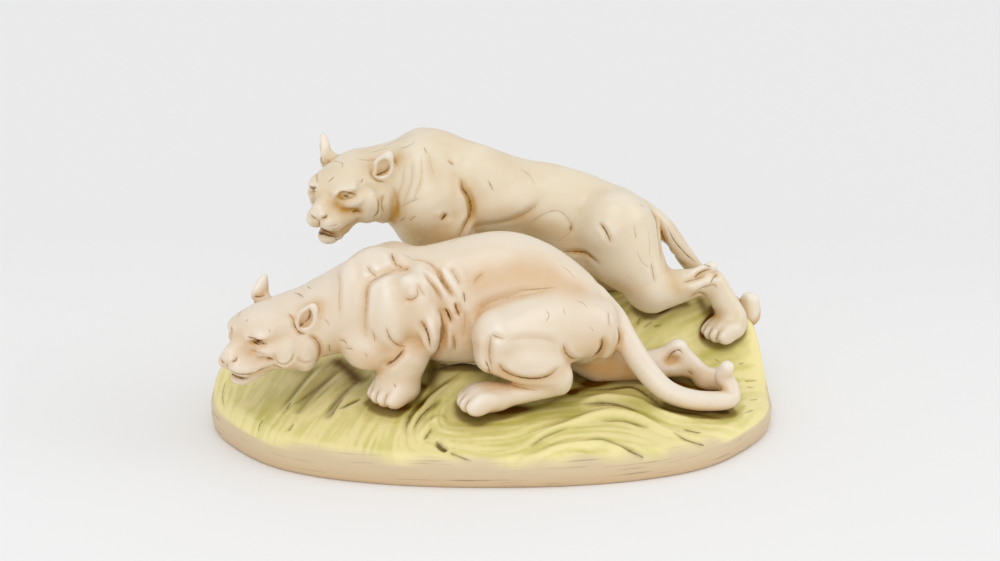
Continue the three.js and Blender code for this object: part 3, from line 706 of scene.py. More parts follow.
STALKING_FACE = (
    (1.1, 0.8, 1.0, (310, 188.5), (313.5, 186.8), (317, 188.8)),
    (1.0, 0.5, 0.8, (311.5, 190.8), (314, 191.4), (316.5, 190.8)),
    (6.0, 0.0, 1.0, (312, 188.8), (313.6, 188.9), (315.4, 189)),
    (3.4, 1.0, 1.0, (337.5, 195), (342, 192.9), (349, 193.2), (358, 195.2)),
    (7.0, 0.0, 1.0, (342.6, 195.9), (346, 195.9), (349.4, 195.9)),
    (1.2, 0.3, 0.7, (339, 197.6), (344, 199), (350, 198), (356, 196)),
    (1.4, 0.4, 0.8, (328, 182), (334, 176.5)),
    (1.4, 0.4, 0.8, (361, 183), (363.5, 178.5)),
    (1.4, 0.3, 0.6, (326, 163.5), (334, 161.3), (342, 163), (342, 168)),
    (1.4, 0.3, 0.7, (316, 171), (317.5, 183)),
    (1.6, 1.4, 1.0, (327.5, 214.5), (325.5, 217.5), (321, 219)),
    (1.5, 1.2, 1.0, (310.5, 214.5), (313, 217.5), (317, 219)),
    (1.2, 0.9, 0.9, (319, 219.5), (319.3, 226.5)),
    (1.6, 1.0, 1.0, (307, 225), (311, 228.5), (316, 229.5), (319.3, 227), (326, 230.2), (334, 233.8),
     (342, 235.6)),
    (5.6, 0.6, 1.0, (310, 230.4), (316, 231.6), (324, 233.8), (333, 236.2), (341, 236.8)),
    (1.4, 0.6, 0.8, (334, 238.5), (340, 241), (345, 238)),
    (2.0, 1.2, 0.7, (342, 237), (349, 232.5), (356, 228), (364, 225)),
    (2.2, 1.4, 0.8, (352, 212), (357, 211.2), (362, 213.4)),
    (1.3, 0.4, 0.4, (328, 226), (333, 226), (338, 224)),
    (1.3, 0.4, 0.4, (330, 229), (336, 229.5), (341, 227)),
    (1.6, 1.4, 0.8, (377.5, 197), (379, 206), (377.5, 213.5), (373, 218)),
    (2.2, 1.4, 0.4, (384, 194), (382, 204), (384, 214)),
    (2.4, 1.6, 0.9, (374.5, 175.5), (380, 173.5), (386, 170.5), (390, 165)),
    (1.8, 1.0, 0.7, (371, 168), (372, 175), (378, 181), (386, 182)),
    (1.5, 0.8, 0.9, (320, 165), (321, 158)),
)

# Wide soft stains, partly painted shade and shadow in hollows and under overhangs: width in mm, share of
# stain, and the course through pixels of the picture
CROUCHING_STAINS_AND_SHADE = (
    (15, 0.65, (480, 284), (500, 276), (525, 274), (552, 280), (575, 290)), (10, 0.3, (452, 312), (450, 350)),
    (9, 0.3, (384, 350), (410, 350)), (7, 0.35, (498, 372), (530, 384), (562, 374)),
    (11, 0.4, (598, 342), (612, 350), (606, 366)), (9, 0.3, (330, 350), (350, 352), (372, 364)),
    (10, 0.25, (475, 330), (478, 350)), (9, 0.9, (586, 366), (606, 369), (630, 373)),
    (8, 0.6, (668, 358), (674, 360)), (8, 0.6, (690, 372), (704, 378), (716, 384)),
    (5, 0.35, (262, 370), (296, 369)), (2.2, 0.8, (252, 342), (262, 345)),
)
STALKING_STAINS_AND_SHADE = (
    (16, 0.5, (400, 216), (416, 232), (450, 240)), (9, 0.35, (470, 190), (478, 214), (470, 234)),
    (12, 0.35, (500, 214), (540, 226), (580, 250)), (10, 0.3, (560, 262), (600, 280), (640, 296)),
    (9, 0.4, (660, 230), (664, 260), (672, 280)), (4, 0.7, (344, 234), (353, 228), (366, 223)),
    (1.8, 0.4, (341, 197), (346, 197.2), (351, 196.8)), (8, 0.3, (668, 214), (684, 240), (700, 262)),
    (7, 0.4, (680, 292), (700, 300), (716, 320)), (20, 0.2, (430, 172), (446, 198), (452, 224)),
    (14, 0.2, (326, 206), (338, 214), (352, 218)),
)

# Lines between the toes and small claws, in the paw's own frame
PAW_STROKES = tuple(
    (1.5, 0.7, 0.6, (24 - abs(y) * 0.4, y, -6), (23 - abs(y) * 0.4, y, 0), (16, y, 5))
    for y in (-8.8, 0, 8.8)
) + tuple(
    (2.6, 0.3, 1.0, (24.5 - abs(c) * 3.2, c * 8.8, -3), (26 - abs(c) * 3.2, c * 8.8, -5.5))
    for c in (-1.5, -0.5, 0.5, 1.5)
)


# Surface nets: one closed skin of four-sided cells where the depth is nought

COARSE = 4.0    # spacing of the first, rough sampling of a body, in mm
BAND = 1.7      # rough cells on each side of the skin that are sampled finely


def drawn_in(grid, centre, share, reach):
    """Grid places drawn towards a centre: p = q - share (q - c) exp(-|q - c|^2 / 2 reach^2)."""
    offset = grid - centre
    pull = share * np.exp(-(offset ** 2).sum(-1, keepdims=True) / (2 * reach ** 2))
    return grid - pull * offset


def skin(forms, centre, sizes):
    """Vertices and quads of the body's skin. Each cell that the skin runs through has a vertex, at the mean
    of the places where its edges cross the skin, and each such edge has a quad between the cells around it.
    The grid's cells are smaller near the centre."""
    step = sizes.step / MM

    def warp(grid):
        return drawn_in(grid, centre, sizes.head_share, sizes.head_reach / MM)

    solid = [form for form in forms if form.kind == "join"]
    low = np.min([form.low for form in solid], axis=0) - 3 * COARSE
    high = np.max([form.high for form in solid], axis=0) + 3 * COARSE
    axes = [np.arange(a, b + step, step) for a, b in zip(low, high)]
    rough = [np.arange(a, b + 2 * COARSE, COARSE) for a, b in zip(low, high)]
    mesh = np.stack(np.meshgrid(*rough, indexing="ij"), -1)
    far = depth_at(forms, warp(mesh.reshape(-1, 3))).reshape(mesh.shape[:3])
    pick = [np.clip(np.rint((a - r[0]) / COARSE).astype(int), 0, len(r) - 1) for a, r in zip(axes, rough)]
    depth = far[np.ix_(*pick)]
    band = np.nonzero(np.abs(depth) < BAND * COARSE)
    depth[band] = depth_at(forms, warp(np.stack([axis[i] for axis, i in zip(axes, band)], 1)))
    cells = np.array(depth.shape) - 1
    total, count, quads = [np.zeros(cells.prod()) for _ in range(3)], np.zeros(cells.prod()), []
    for k in range(3):
        start, end = [slice(None)] * 3, [slice(None)] * 3
        start[k], end[k] = slice(0, -1), slice(1, None)
        crossed = np.argwhere((depth[tuple(start)] < 0) != (depth[tuple(end)] < 0))
        ahead = crossed + np.eye(3, dtype=int)[k]
        here, there = depth[tuple(crossed.T)], depth[tuple(ahead.T)]
        spot = crossed.astype(float)
        spot[:, k] += here / (here - there)
        corners = []
        for du, dv in ((-1, -1), (0, -1), (0, 0), (-1, 0)):
            cell = crossed.copy()
            cell[:, (k + 1) % 3] += du
            cell[:, (k + 2) % 3] += dv
            flat = np.ravel_multi_index(cell.T, cells)
            corners.append(flat)
            for m in range(3):
                total[m] += np.bincount(flat, spot[:, m], minlength=len(count))
            count += np.bincount(flat, minlength=len(count))
        quad = np.stack(corners, 1)
        quad[here > 0] = quad[here > 0][:, ::-1]
        quads.append(quad)
    used = np.nonzero(count)[0]
    rank = np.zeros(len(count), int)
    rank[used] = np.arange(len(used))
    points = np.stack([t[used] / count[used] for t in total], 1) * step + low
    return warp(points), rank[np.concatenate(quads)]


def normals(points, quads):
    """Unit normals at the vertices: the sum of the crossed diagonals of the quads around each."""
    across = np.cross(points[quads[:, 2]] - points[quads[:, 0]], points[quads[:, 3]] - points[quads[:, 1]])
    total = np.zeros_like(points)
    for corner in quads.T:
        for m in range(3):
            total[:, m] += np.bincount(corner, across[:, m], minlength=len(points))
    return total / (np.linalg.norm(total, axis=1)[:, None] + 1e-12)


def relief(points, quads, outward, rounds=12):
    """Sharpness of bulges, above nought, and of hollows, below it: how far each vertex stands off the mesh
    after some rounds of evening out, over the size of the cells there."""
    count = np.bincount(quads.ravel(), minlength=len(points))[:, None]

    def spread(values):
        return np.stack([sum(np.bincount(corner, v, minlength=len(points)) for corner in quads.T)
                         for v in values.T], 1) / count

    size = np.linalg.norm(points[quads[:, 2]] - points[quads[:, 0]], axis=1)
    even = points
    for _ in range(rounds):
        even = spread(even[quads].mean(1))
    return ((points - even) * outward).sum(1) / spread(size[:, None])[:, 0]


def shade_at(depth, points, outward, reach):
    """Share of hollow: how much nearer than reach a body is to the point reach away from the skin."""
    return np.clip(1 - depth(points + reach * outward) / reach, 0, 1)


def stained(stains, points, cast_on):
    """Wide soft stains, partly painted shade, added up: share times exp(-(gap / width)^2) about each one's
    course on the skin.
    """
    total = np.zeros(len(points))
    for width, share, *uv in stains:
        path = cast_on(course(uv, 4 * len(uv)))
        total += share * np.exp(-(nearest(path, points)[0] / width) ** 2)
    return total


def piece(name, points, quads, marks, material):
    """A smooth mesh object in metres, with its material, and its marks as attributes of points or corners."""
    mesh = bpy.data.meshes.new(name)
    mesh.vertices.add(len(points))
    mesh.vertices.foreach_set("co", (points * MM).astype(np.float32).ravel())
    mesh.loops.add(quads.size)
    mesh.loops.foreach_set("vertex_index", quads.astype(np.int32).ravel())
    mesh.polygons.add(len(quads))
    mesh.polygons.foreach_set("loop_start", np.arange(0, quads.size, 4, dtype=np.int32))
    mesh.update(calc_edges=True)
    mesh.polygons.foreach_set("use_smooth", np.ones(len(quads), bool))
    for key, values in marks.items():
        layer = mesh.attributes.new(key, "FLOAT", "POINT" if values.ndim == 1 else "CORNER")
        layer.data.foreach_set("value", values.astype(np.float32).ravel())
    mesh.materials.append(material)
    body = bpy.data.objects.new(name, mesh)
    bpy.context.scene.collection.objects.link(body)
    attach(body, "root")
    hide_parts("tiger_group")
    return body


# Materials. Sizes of their patterns in mm

CLOUD, DRIFT = 28, 50       # patches in which the glaze lies thicker or thinner, and is warmer or cooler
TURF_CLOUD = 45             # patches of yellower and greener turf
GRAIN = 1.6                 # faint unevenness of a fired glaze
UNEVEN, WORN = 3, 9         # waves in the edge of a brush line, and stretches where it is worn
STREAK, STREAK_FLAT = 60, 30    # streaks on the rim: their length, and how many times their height that is
GRAIN_DEPTH = 0.0004        # height of the grain, in metres
CERAMIC_IOR = 1.5


def add(tree, kind, inputs=None, **settings):
    """Adds a node with its settings, and sets or links its inputs."""
    node = tree.nodes.new(kind)
    for key, value in settings.items():
        setattr(node, key, value)
    for key, value in (inputs or {}).items():
        if isinstance(value, bpy.types.NodeSocket):
            tree.links.new(value, node.inputs[key])
        else:
            node.inputs[key].default_value = value
    return node


def blank(name):
    """A material with an empty node tree."""
    material = bpy.data.materials.new(name)
    material.use_nodes = True
    material.node_tree.nodes.clear()
    return material, material.node_tree


def mixed(tree, share, first, second):
    """Colour between two, by a share that is a number or a socket."""
    return add(tree, "ShaderNodeMix", {0: share, 6: first, 7: second}, data_type="RGBA").outputs[2]


def scaled(tree, value, low, high, to_low=0.0, to_high=1.0):
    """Value mapped from low..high to to_low..to_high and clamped."""
    return add(tree, "ShaderNodeMapRange", {0: value, 1: low, 2: high, 3: to_low, 4: to_high}).outputs[0]


def mark(tree, name):
    """One of the piece's marks, as a number."""
    return add(tree, "ShaderNodeAttribute", attribute_name=name).outputs["Fac"]


def noise(tree, size_mm, detail=2.0, stretch=(1, 1, 1)):
    """Cloudy pattern in Object coordinates, with patches about size_mm wide."""
    place_at = add(tree, "ShaderNodeTexCoord").outputs["Object"]
    turned = add(tree, "ShaderNodeMapping", {"Vector": place_at, "Scale": stretch}).outputs[0]
    return add(tree, "ShaderNodeTexNoise", {"Vector": turned, "Scale": 1 / (size_mm * MM), "Detail": detail}
               ).outputs["Fac"]


def grain(tree, strength):
    """Normals of a glaze that is very slightly uneven."""
    return add(tree, "ShaderNodeBump", {"Height": noise(tree, GRAIN), "Strength": strength,
                                        "Distance": GRAIN_DEPTH}).outputs[0]


def rgba(value):
    """A colour for a node's socket."""
    return (*value, 1.0)


def painted(tree, tone, stain, brown):
    """Brown brush lines over a tone: thin, of uneven width and strength, with a soft stain and painted shade
    beside them.
    """
    # the wash beside the lines: soft stain and painted shade
    tone = mixed(tree, scaled(tree, mark(tree, "wash"), 0, 1, 0, 0.5), tone, rgba(stain))
    gap = add(tree, "ShaderNodeMath", {0: mark(tree, "across")}, operation="ABSOLUTE").outputs[0]
    uneven = scaled(tree, noise(tree, UNEVEN), 0.3, 0.7, -0.4, 0.4)
    edge = add(tree, "ShaderNodeMath", {0: gap, 1: uneven}, operation="ADD").outputs[0]
    worn = scaled(tree, noise(tree, WORN), 0.3, 0.6, 0.6, 1.0)
    strength = add(tree, "ShaderNodeMath", {0: mark(tree, "ink"), 1: worn}, operation="MULTIPLY").outputs[0]
    line = add(tree, "ShaderNodeMath", {0: scaled(tree, edge, 0.4, 1.4, 1, 0), 1: strength},
               operation="MULTIPLY", use_clamp=True).outputs[0]
    return mixed(tree, line, tone, rgba(brown))


def satin_glaze(name, base, pale, stain_and_shade, brown, under):
    """Slip-cast ceramic under a satin glaze: paler on raised parts, which is a painted highlight; stain and
    painted shade in the hollows and, as far as under says, painted shade on the sides and undersides; creases
    lined with brown. A satin glaze scatters its gleam, so the highlights are broad and soft, and the stained
    and shaded hollows gleam less."""
    material, tree = blank(name)
    cloud = noise(tree, CLOUD, 3)
    raised = mark(tree, "raised")
    # painted highlight: paler on raised parts
    tone = mixed(tree, scaled(tree, raised, 0.08, 0.6, 0, 0.7), rgba(base), rgba(pale))
    # painted shade: the sides and undersides darkened towards the stain colour, as far as under says
    tone = mixed(tree, scaled(tree, mark(tree, "under"), 0, 1, 0, under), tone, rgba(stain_and_shade))
    tone = mixed(tree, scaled(tree, noise(tree, DRIFT), 0.5, 0.75, 0, 0.22), tone, rgba(stain_and_shade))
    # stain and painted shade in the hollows: the relief's sharp hollows and the hollow mark, shade from parts
    # nearby plus soft stains
    sharp = scaled(tree, raised, -0.05, -0.6, 0, 0.5)
    sunken = add(tree, "ShaderNodeMath", {0: sharp, 1: mark(tree, "hollow")}, operation="ADD").outputs[0]
    stain_and_shade_share = add(tree, "ShaderNodeMath", {0: sunken, 1: scaled(tree, cloud, 0.3, 0.7, 0.6, 1.05)},
                 operation="MULTIPLY", use_clamp=True).outputs[0]
    tone = mixed(tree, stain_and_shade_share, tone, rgba(stain_and_shade))
    tone = painted(tree, tone, stain_and_shade, brown)
    shader = add(tree, "ShaderNodeBsdfPrincipled", {
        "Base Color": tone, "Roughness": scaled(tree, cloud, 0.3, 0.7, 0.2, 0.3),
        "Specular IOR Level": scaled(tree, stain_and_shade_share, 0, 1, 0.5, 0.15),
        "IOR": CERAMIC_IOR, "Normal": grain(tree, 0.06)})
    add(tree, "ShaderNodeOutputMaterial", {"Surface": shader.outputs[0]})
    return material


def turf_glaze(colours):
    """Green-stained turf under the same satin glaze, with painted shade near the bodies and in its grooves,
    running out into a plain pinkish rim with thin streaks. The glaze lies thinner over the modelled grass, so
    its gleam is duller than that of the animals."""
    material, tree = blank("stained_turf_glaze")
    cloud = noise(tree, TURF_CLOUD)
    raised = mark(tree, "raised")
    # painted shade and light on the turf's relief: greener in its hollows and yellower on its tops
    sunk = scaled(tree, raised, -0.3, 0.3, 0.2, -0.2)
    green_and_relief_shade = add(tree, "ShaderNodeMath", {0: mark(tree, "fresh"), 1: sunk}, operation="ADD").outputs[0]
    fresh = add(tree, "ShaderNodeMath", {0: green_and_relief_shade, 1: scaled(tree, cloud, 0.3, 0.7, -0.2, 0.2)},
                operation="ADD", use_clamp=True).outputs[0]
    turf = mixed(tree, fresh, rgba(colours.straw), rgba(colours.grass))
    # painted shade in the grooves of the relief, in dark brown
    turf = mixed(tree, scaled(tree, raised, -0.1, -0.6, 0, 0.25), turf, rgba(colours.moss_and_shade))
    # painted shade of the bodies on the turf, in olive
    turf = mixed(tree, mark(tree, "shade"), turf, rgba(colours.olive))
    # painted shadow in dark brown where the bodies meet the turf
    turf = mixed(tree, mark(tree, "hollow"), turf, rgba(colours.moss_and_shade))
    low = mixed(tree, mark(tree, "low"), rgba(colours.rim), rgba(colours.clay))
    streak = scaled(tree, noise(tree, STREAK, 3, (1, 1, STREAK_FLAT)), 0.6, 0.72, 0, 0.5)
    low = mixed(tree, streak, low, rgba(colours.brown))
    tone = mixed(tree, mark(tree, "turf"), low, turf)
    tone = painted(tree, tone, colours.moss_and_shade, colours.brown)
    shader = add(tree, "ShaderNodeBsdfPrincipled", {
        "Base Color": tone, "Roughness": scaled(tree, cloud, 0.3, 0.7, 0.34, 0.44),
        "Specular IOR Level": scaled(tree, mark(tree, "hollow"), 0, 0.5, 0.3, 0.03),
        "IOR": CERAMIC_IOR, "Normal": grain(tree, 0.08)})
    add(tree, "ShaderNodeOutputMaterial", {"Surface": shader.outputs[0]})
    return material


def plain_floor(near, far):
    """Matt pale paper, painted a little darker behind the group as painted shade where the light falls off.
    """
    material, tree = blank("pale_paper_floor")
    place_at = add(tree, "ShaderNodeTexCoord").outputs["Object"]
    along = add(tree, "ShaderNodeSeparateXYZ", {0: place_at}).outputs["Y"]
    # painted shade: darker further back
    tone = mixed(tree, scaled(tree, along, -0.4, 0.6), rgba(near), rgba(far))
    shader = add(tree, "ShaderNodeBsdfPrincipled", {"Base Color": tone, "Roughness": 0.9})
    add(tree, "ShaderNodeOutputMaterial", {"Surface": shader.outputs[0]})
    return material


# The mound. Places and widths in mm

SQUARENESS = 2.25                   # power of the plan's oval: 2 is an ellipse, more is squarer
END_LEAN = 0.028                    # near both ends the oval is drawn in a little in front and out behind
LEAN_AT, LEAN_WIDE = 17, 11         # bearing at which that is most, and its spread, in degrees
RIM_ALONG, RIM_BACK = -0.012, 0.03  # rise of the rim for each mm towards the tails and towards the back
RIM_FRONT = -150                    # y from which the second is counted
DOME_POWER = 2.5                    # higher is flatter in the middle and steeper at the edge
CLIMB_FROM, CLIMB_RUN = -150, 370   # the slope behind grows from this x on, over this run
SLOPE_AT, SLOPE_TURN = 30, 0.06     # y of the slope's middle at x = 0, and its shift for each mm of x
SLOPE_SOFT = 15                     # about a quarter of the slope's run
HILLOCK_AT, HILLOCK_WIDE = (238, 92), (42.43, 42.43)    # middle and width of each hump, along X and Y
SWELL_AT, SWELL_WIDE = (-26, -36), (42, 26)
BACK_FALL = 0.45                    # share of its height that the ground loses towards the back edge
BACK_FROM, BACK_RUN = 95, 53        # y where that starts, and its run
VERGE = 0.95                        # share of the way out from which the turf rounds over to the rim
MODELLED = 0.06                     # the grass's relief fades over this last share of the way out
BANK, BANK_WIDE = 2.0, 4.0          # turf banked up against the bodies: its height and width
WALL_ROWS = 9                       # rows of quads down the wall
WALL_BULGE = 0.012                  # share by which the wall stands out half-way down
FOOT = 0.992                        # share of the plan to which its foot is drawn in


def way_out(sizes, x, y):
    """Share of the way out to the oval's edge: (|2x / long|^s + |2y / deep|^s)^(1/s), s the squareness."""
    return (np.abs(2 * x * MM / sizes.long) ** SQUARENESS + np.abs(2 * y * MM / sizes.deep) ** SQUARENESS
            ) ** (1 / SQUARENESS)


def hump(x, y, middle, wide):
    """Rise from 0 to 1 at the middle: exp(-(dx / wide)^2 - (dy / wide)^2)."""
    return np.exp(-((x - middle[0]) / wide[0]) ** 2 - ((y - middle[1]) / wide[1]) ** 2)


def ground(sizes, x, y):
    """Height of the turf: the rim, plus a dome, plus a slope rising behind the crouching tiger as
    1 / (1 + exp(-way / soft)), plus two humps, less a fall towards the back edge."""
    high = sizes.rim / MM
    climb = (sizes.slope_left + sizes.slope_right * smooth((x - CLIMB_FROM) / CLIMB_RUN)) / MM
    height = high + RIM_ALONG * x + RIM_BACK * (y - RIM_FRONT)
    height = height + sizes.dome / MM * (1 - np.minimum(1, way_out(sizes, x, y)) ** DOME_POWER)
    height = height + climb / (1 + np.exp((SLOPE_AT + SLOPE_TURN * x - y) / SLOPE_SOFT))
    height = height + sizes.hillock / MM * hump(x, y, HILLOCK_AT, HILLOCK_WIDE)
    height = height + sizes.swell / MM * hump(x, y, SWELL_AT, SWELL_WIDE)
    return height - BACK_FALL * (height - high) * smooth((y - BACK_FROM) / BACK_RUN)


def outline(sizes, angle):
    """Edge of the plan: the oval of way_out = 1, with x as cos^(2/s) and y as sin^(2/s), leaning back at both
    ends."""
    c, s = np.cos(angle), np.sin(angle)
    x = sizes.long / MM / 2 * np.sign(c) * np.abs(c) ** (2 / SQUARENESS)
    y = sizes.deep / MM / 2 * np.sign(s) * np.abs(s) ** (2 / SQUARENESS)
    bearing = np.degrees(np.arctan2(np.abs(y), np.abs(x)))
    lean = 1 + END_LEAN * np.sign(y) * np.exp(-((bearing - LEAN_AT) / LEAN_WIDE) ** 2)
    return x * lean, y * lean


# Waves and tufts of the grass: width and depth in mm (a minus raises), share of brown, and the course
GRASS_STROKES = (
    (3.5, 2.0, 0.7, (576, 390), (606, 388), (632, 386), (650, 396), (668, 408), (700, 414), (724, 418)),
    (4.5, -3.2, 0.0, (572, 404), (606, 397), (635, 400), (664, 414), (694, 420)),
    (3.2, 1.8, 0.7, (580, 404), (604, 402), (622, 404), (640, 410)),
    (4.5, -3.0, 0.0, (530, 440), (567, 425), (606, 412), (635, 416), (664, 430), (700, 442)),
    (3.0, 1.4, 0.4, (528, 447), (546, 436), (570, 427)),
    (3.0, 1.2, 0.4, (600, 420), (625, 420), (650, 428)),
    (4.5, -3.2, 0.0, (524, 463), (557, 449), (596, 444), (616, 449), (641, 460)),
    (3.0, 2.0, 0.9, (580, 441), (600, 439), (616, 444), (634, 452), (651, 459)),
    (2.6, 1.6, 0.8, (526, 466), (563, 463), (596, 462), (620, 464), (646, 467)),
    (2.6, 1.4, 0.9, (672, 433), (690, 441), (712, 445)),
    (2.6, 1.2, 0.9, (682, 428), (702, 433)),
    (2.4, 1.0, 0.5, (718, 440), (735, 438)),
    (3.0, 1.6, 0.5, (463, 371), (440, 386), (420, 402), (408, 420), (405, 437)),
    (3.5, -2.0, 0.0, (457, 378), (436, 394), (420, 412), (412, 430)),
    (2.6, 1.4, 0.7, (442, 398), (424, 413), (412, 430)),
    (2.4, 1.2, 0.8, (426, 402), (416, 411), (408, 416)),
    (4.0, -2.2, 0.0, (444, 416), (430, 424), (417, 440)),
    (3.0, 2.6, 1.0, (436, 440), (441, 447), (448, 451)),
    (2.6, 1.2, 0.7, (448, 451), (459, 456), (472, 461)),
    (2.2, 0.8, 0.8, (432, 428), (424, 440)),
    (3.4, 1.4, 0.3, (317, 364), (300, 384), (278, 414)),
    (3.4, -1.6, 0.0, (326, 366), (309, 386), (288, 414)),
    (3.4, 1.4, 0.4, (339, 370), (316, 388), (281, 415)),
    (3.4, -1.8, 0.0, (350, 374), (334, 388), (318, 404)),
    (3.0, 1.4, 0.4, (352, 384), (338, 398), (324, 417)),
    (3.0, 1.4, 0.7, (362, 398), (350, 403), (338, 410)),
    (2.0, 0.8, 0.8, (344, 398), (336, 408), (330, 418)),
    (1.8, 0.5, 0.7, (263, 419), (256, 430)),
    (1.8, 0.5, 0.7, (294, 423), (288, 432)),
    (1.8, 0.5, 0.7, (291, 401), (286, 409)),
    (2.4, 0.8, 0.5, (226, 380), (222, 392), (222, 407)),
    (1.8, 0.6, 0.7, (744, 381), (757, 380)),
    (1.8, 0.6, 0.8, (746, 387), (754, 387)),
    (1.8, 0.6, 0.7, (748, 400), (758, 399)),
    (1.8, 0.6, 0.6, (744, 413), (754, 409)),
    (2.0, 0.6, 0.6, (637, 325), (641, 316)),
    (2.0, 0.6, 0.6, (643, 328), (653, 321)),
    (2.0, 0.6, 0.6, (653, 327), (662, 324)),
    (1.6, 0.4, 0.7, (714, 359), (720, 362)),
    (1.6, 0.4, 0.7, (738, 364), (744, 363)),
)

# Painted shadow in dark brown where the bodies meet the turf, and a few dark bands in the grass
GRASS_STAINS_AND_SHADOWS = (
    (8, 0.9, (338, 362), (348, 370), (358, 380)), (7, 0.8, (428, 352), (434, 366), (430, 384)),
    (4, 0.8, (444, 364), (478, 365), (496, 372)), (5, 0.5, (500, 412), (540, 406), (572, 392)),
    (6, 0.9, (572, 392), (600, 382), (640, 372)), (5, 0.7, (590, 376), (630, 366), (650, 364)),
    (4, 0.8, (640, 298), (656, 310), (686, 304)), (5, 0.7, (700, 300), (708, 318), (704, 334)),
    (4, 0.6, (656, 394), (690, 408), (724, 412)), (6, 0.6, (668, 382), (700, 392), (716, 392)),
    (9, 0.3, (300, 372), (322, 368)), (4, 0.4, (334, 372), (314, 393), (298, 412)),
    (3.5, 0.45, (354, 384), (340, 399), (328, 417)), (6, 0.3, (404, 410), (424, 404), (446, 384)),
)

# How the grass lies: from one pixel to another
LIE = (
    ((340, 368), (285, 412)), ((300, 380), (262, 425)), ((232, 385), (224, 410)), ((350, 400), (330, 418)),
    ((300, 430), (285, 448)), ((380, 420), (368, 440)), ((455, 378), (415, 408)), ((412, 415), (406, 440)),
    ((480, 430), (520, 428)), ((540, 440), (575, 424)), ((590, 412), (620, 408)), ((650, 418), (685, 436)),
    ((700, 430), (735, 432)), ((600, 450), (640, 456)), ((560, 400), (590, 396)), ((745, 385), (758, 384)),
    ((640, 325), (652, 315)), ((680, 330), (700, 320)), ((745, 410), (755, 400)), ((450, 460), (490, 466)),
)


LIE_CELL = 3.4                  # spacing of the grid that holds the lie of the grass, in mm
LIE_HALF = (280, 170)           # how far it goes each way from the middle
LIE_SOFT, LIE_POWER = 60, 1.6   # a course counts by 1 / (distance^2 + 60)^1.6
STRAND_STEPS, STRAND_STRIDE = 16, 2.2   # steps each way along a strand, and their length in mm
SLANT = 0.5                     # a sight line nears the sloping turf by no more than this share of its height


def ground_point(sizes, stage, uv):
    """Where sight lines through pixels meet the turf."""
    def depth(points):
        return SLANT * (points[:, 2] - ground(sizes, points[:, 0], points[:, 1]))
    return cast(depth, stage, uv)


def strands(sizes, stage, x, y):
    """Relief of the grass from -1 to 1: seeded noise, smeared along the lie of the grass with weights that
    fall off as the square of a cosine. The lie at a place is the mean of the courses around it."""
    ends = ground_point(sizes, stage, [pixel for pair in LIE for pixel in pair])[:, :2]
    starts, ways = ends[::2], ends[1::2] - ends[::2]
    ways /= np.linalg.norm(ways, axis=1)[:, None]
    across, back = np.meshgrid(*[np.arange(-half, half + 1, LIE_CELL) for half in LIE_HALF], indexing="ij")
    grid = np.stack([across, back], -1)
    weight = 1 / (((grid[:, :, None] - starts) ** 2).sum(-1) + LIE_SOFT) ** LIE_POWER
    lie = (weight[..., None] * ways).sum(2)
    lie /= np.linalg.norm(lie, axis=-1, keepdims=True) + 1e-9
    speckle = np.random.default_rng(5).standard_normal(across.shape)

    def sampled(values, p):
        i, j = [np.clip((p[:, m] + LIE_HALF[m]) / LIE_CELL, 0, across.shape[m] - 1.01) for m in (0, 1)]
        a, b = i.astype(int), j.astype(int)
        s, t = i - a, j - b
        return ((1 - s) * ((1 - t) * values[a, b] + t * values[a, b + 1])
                + s * ((1 - t) * values[a + 1, b] + t * values[a + 1, b + 1]))

    total = np.zeros(len(x))
    for way in (1, -1):
        p = np.stack([x, y], 1)
        for n in range(STRAND_STEPS):
            total += sampled(speckle, p) * np.cos(n / STRAND_STEPS * np.pi / 2) ** 2
            p = p + way * STRAND_STRIDE * np.stack([sampled(lie[..., m], p) for m in (0, 1)], 1)
    return np.tanh(total / total.std())


def turf_grid(sizes):
    """The turf's grid: a square map drawn onto the oval, where rings of the square become rings of the oval.
    Gives the places x, y, the share of the way out to the edge, and the shape of the grid."""
    lines = [np.linspace(-1, 1, cells + 1) for cells in (sizes.across, sizes.back)]
    a, b = np.meshgrid(*lines, indexing="ij")
    out = np.maximum(np.abs(a), np.abs(b))
    wide = np.abs(a) > np.abs(b)
    with np.errstate(divide="ignore", invalid="ignore"):
        turned = np.where(wide, np.where(a > 0, 0, np.pi) + np.pi / 4 * b / a,
                          np.where(b > 0, np.pi / 2, -np.pi / 2) - np.pi / 4 * a / b)
    turned = np.nan_to_num(turned)
    x, y = outline(sizes, turned)
    return (x * out).ravel(), (y * out).ravel(), out.ravel(), a.shape


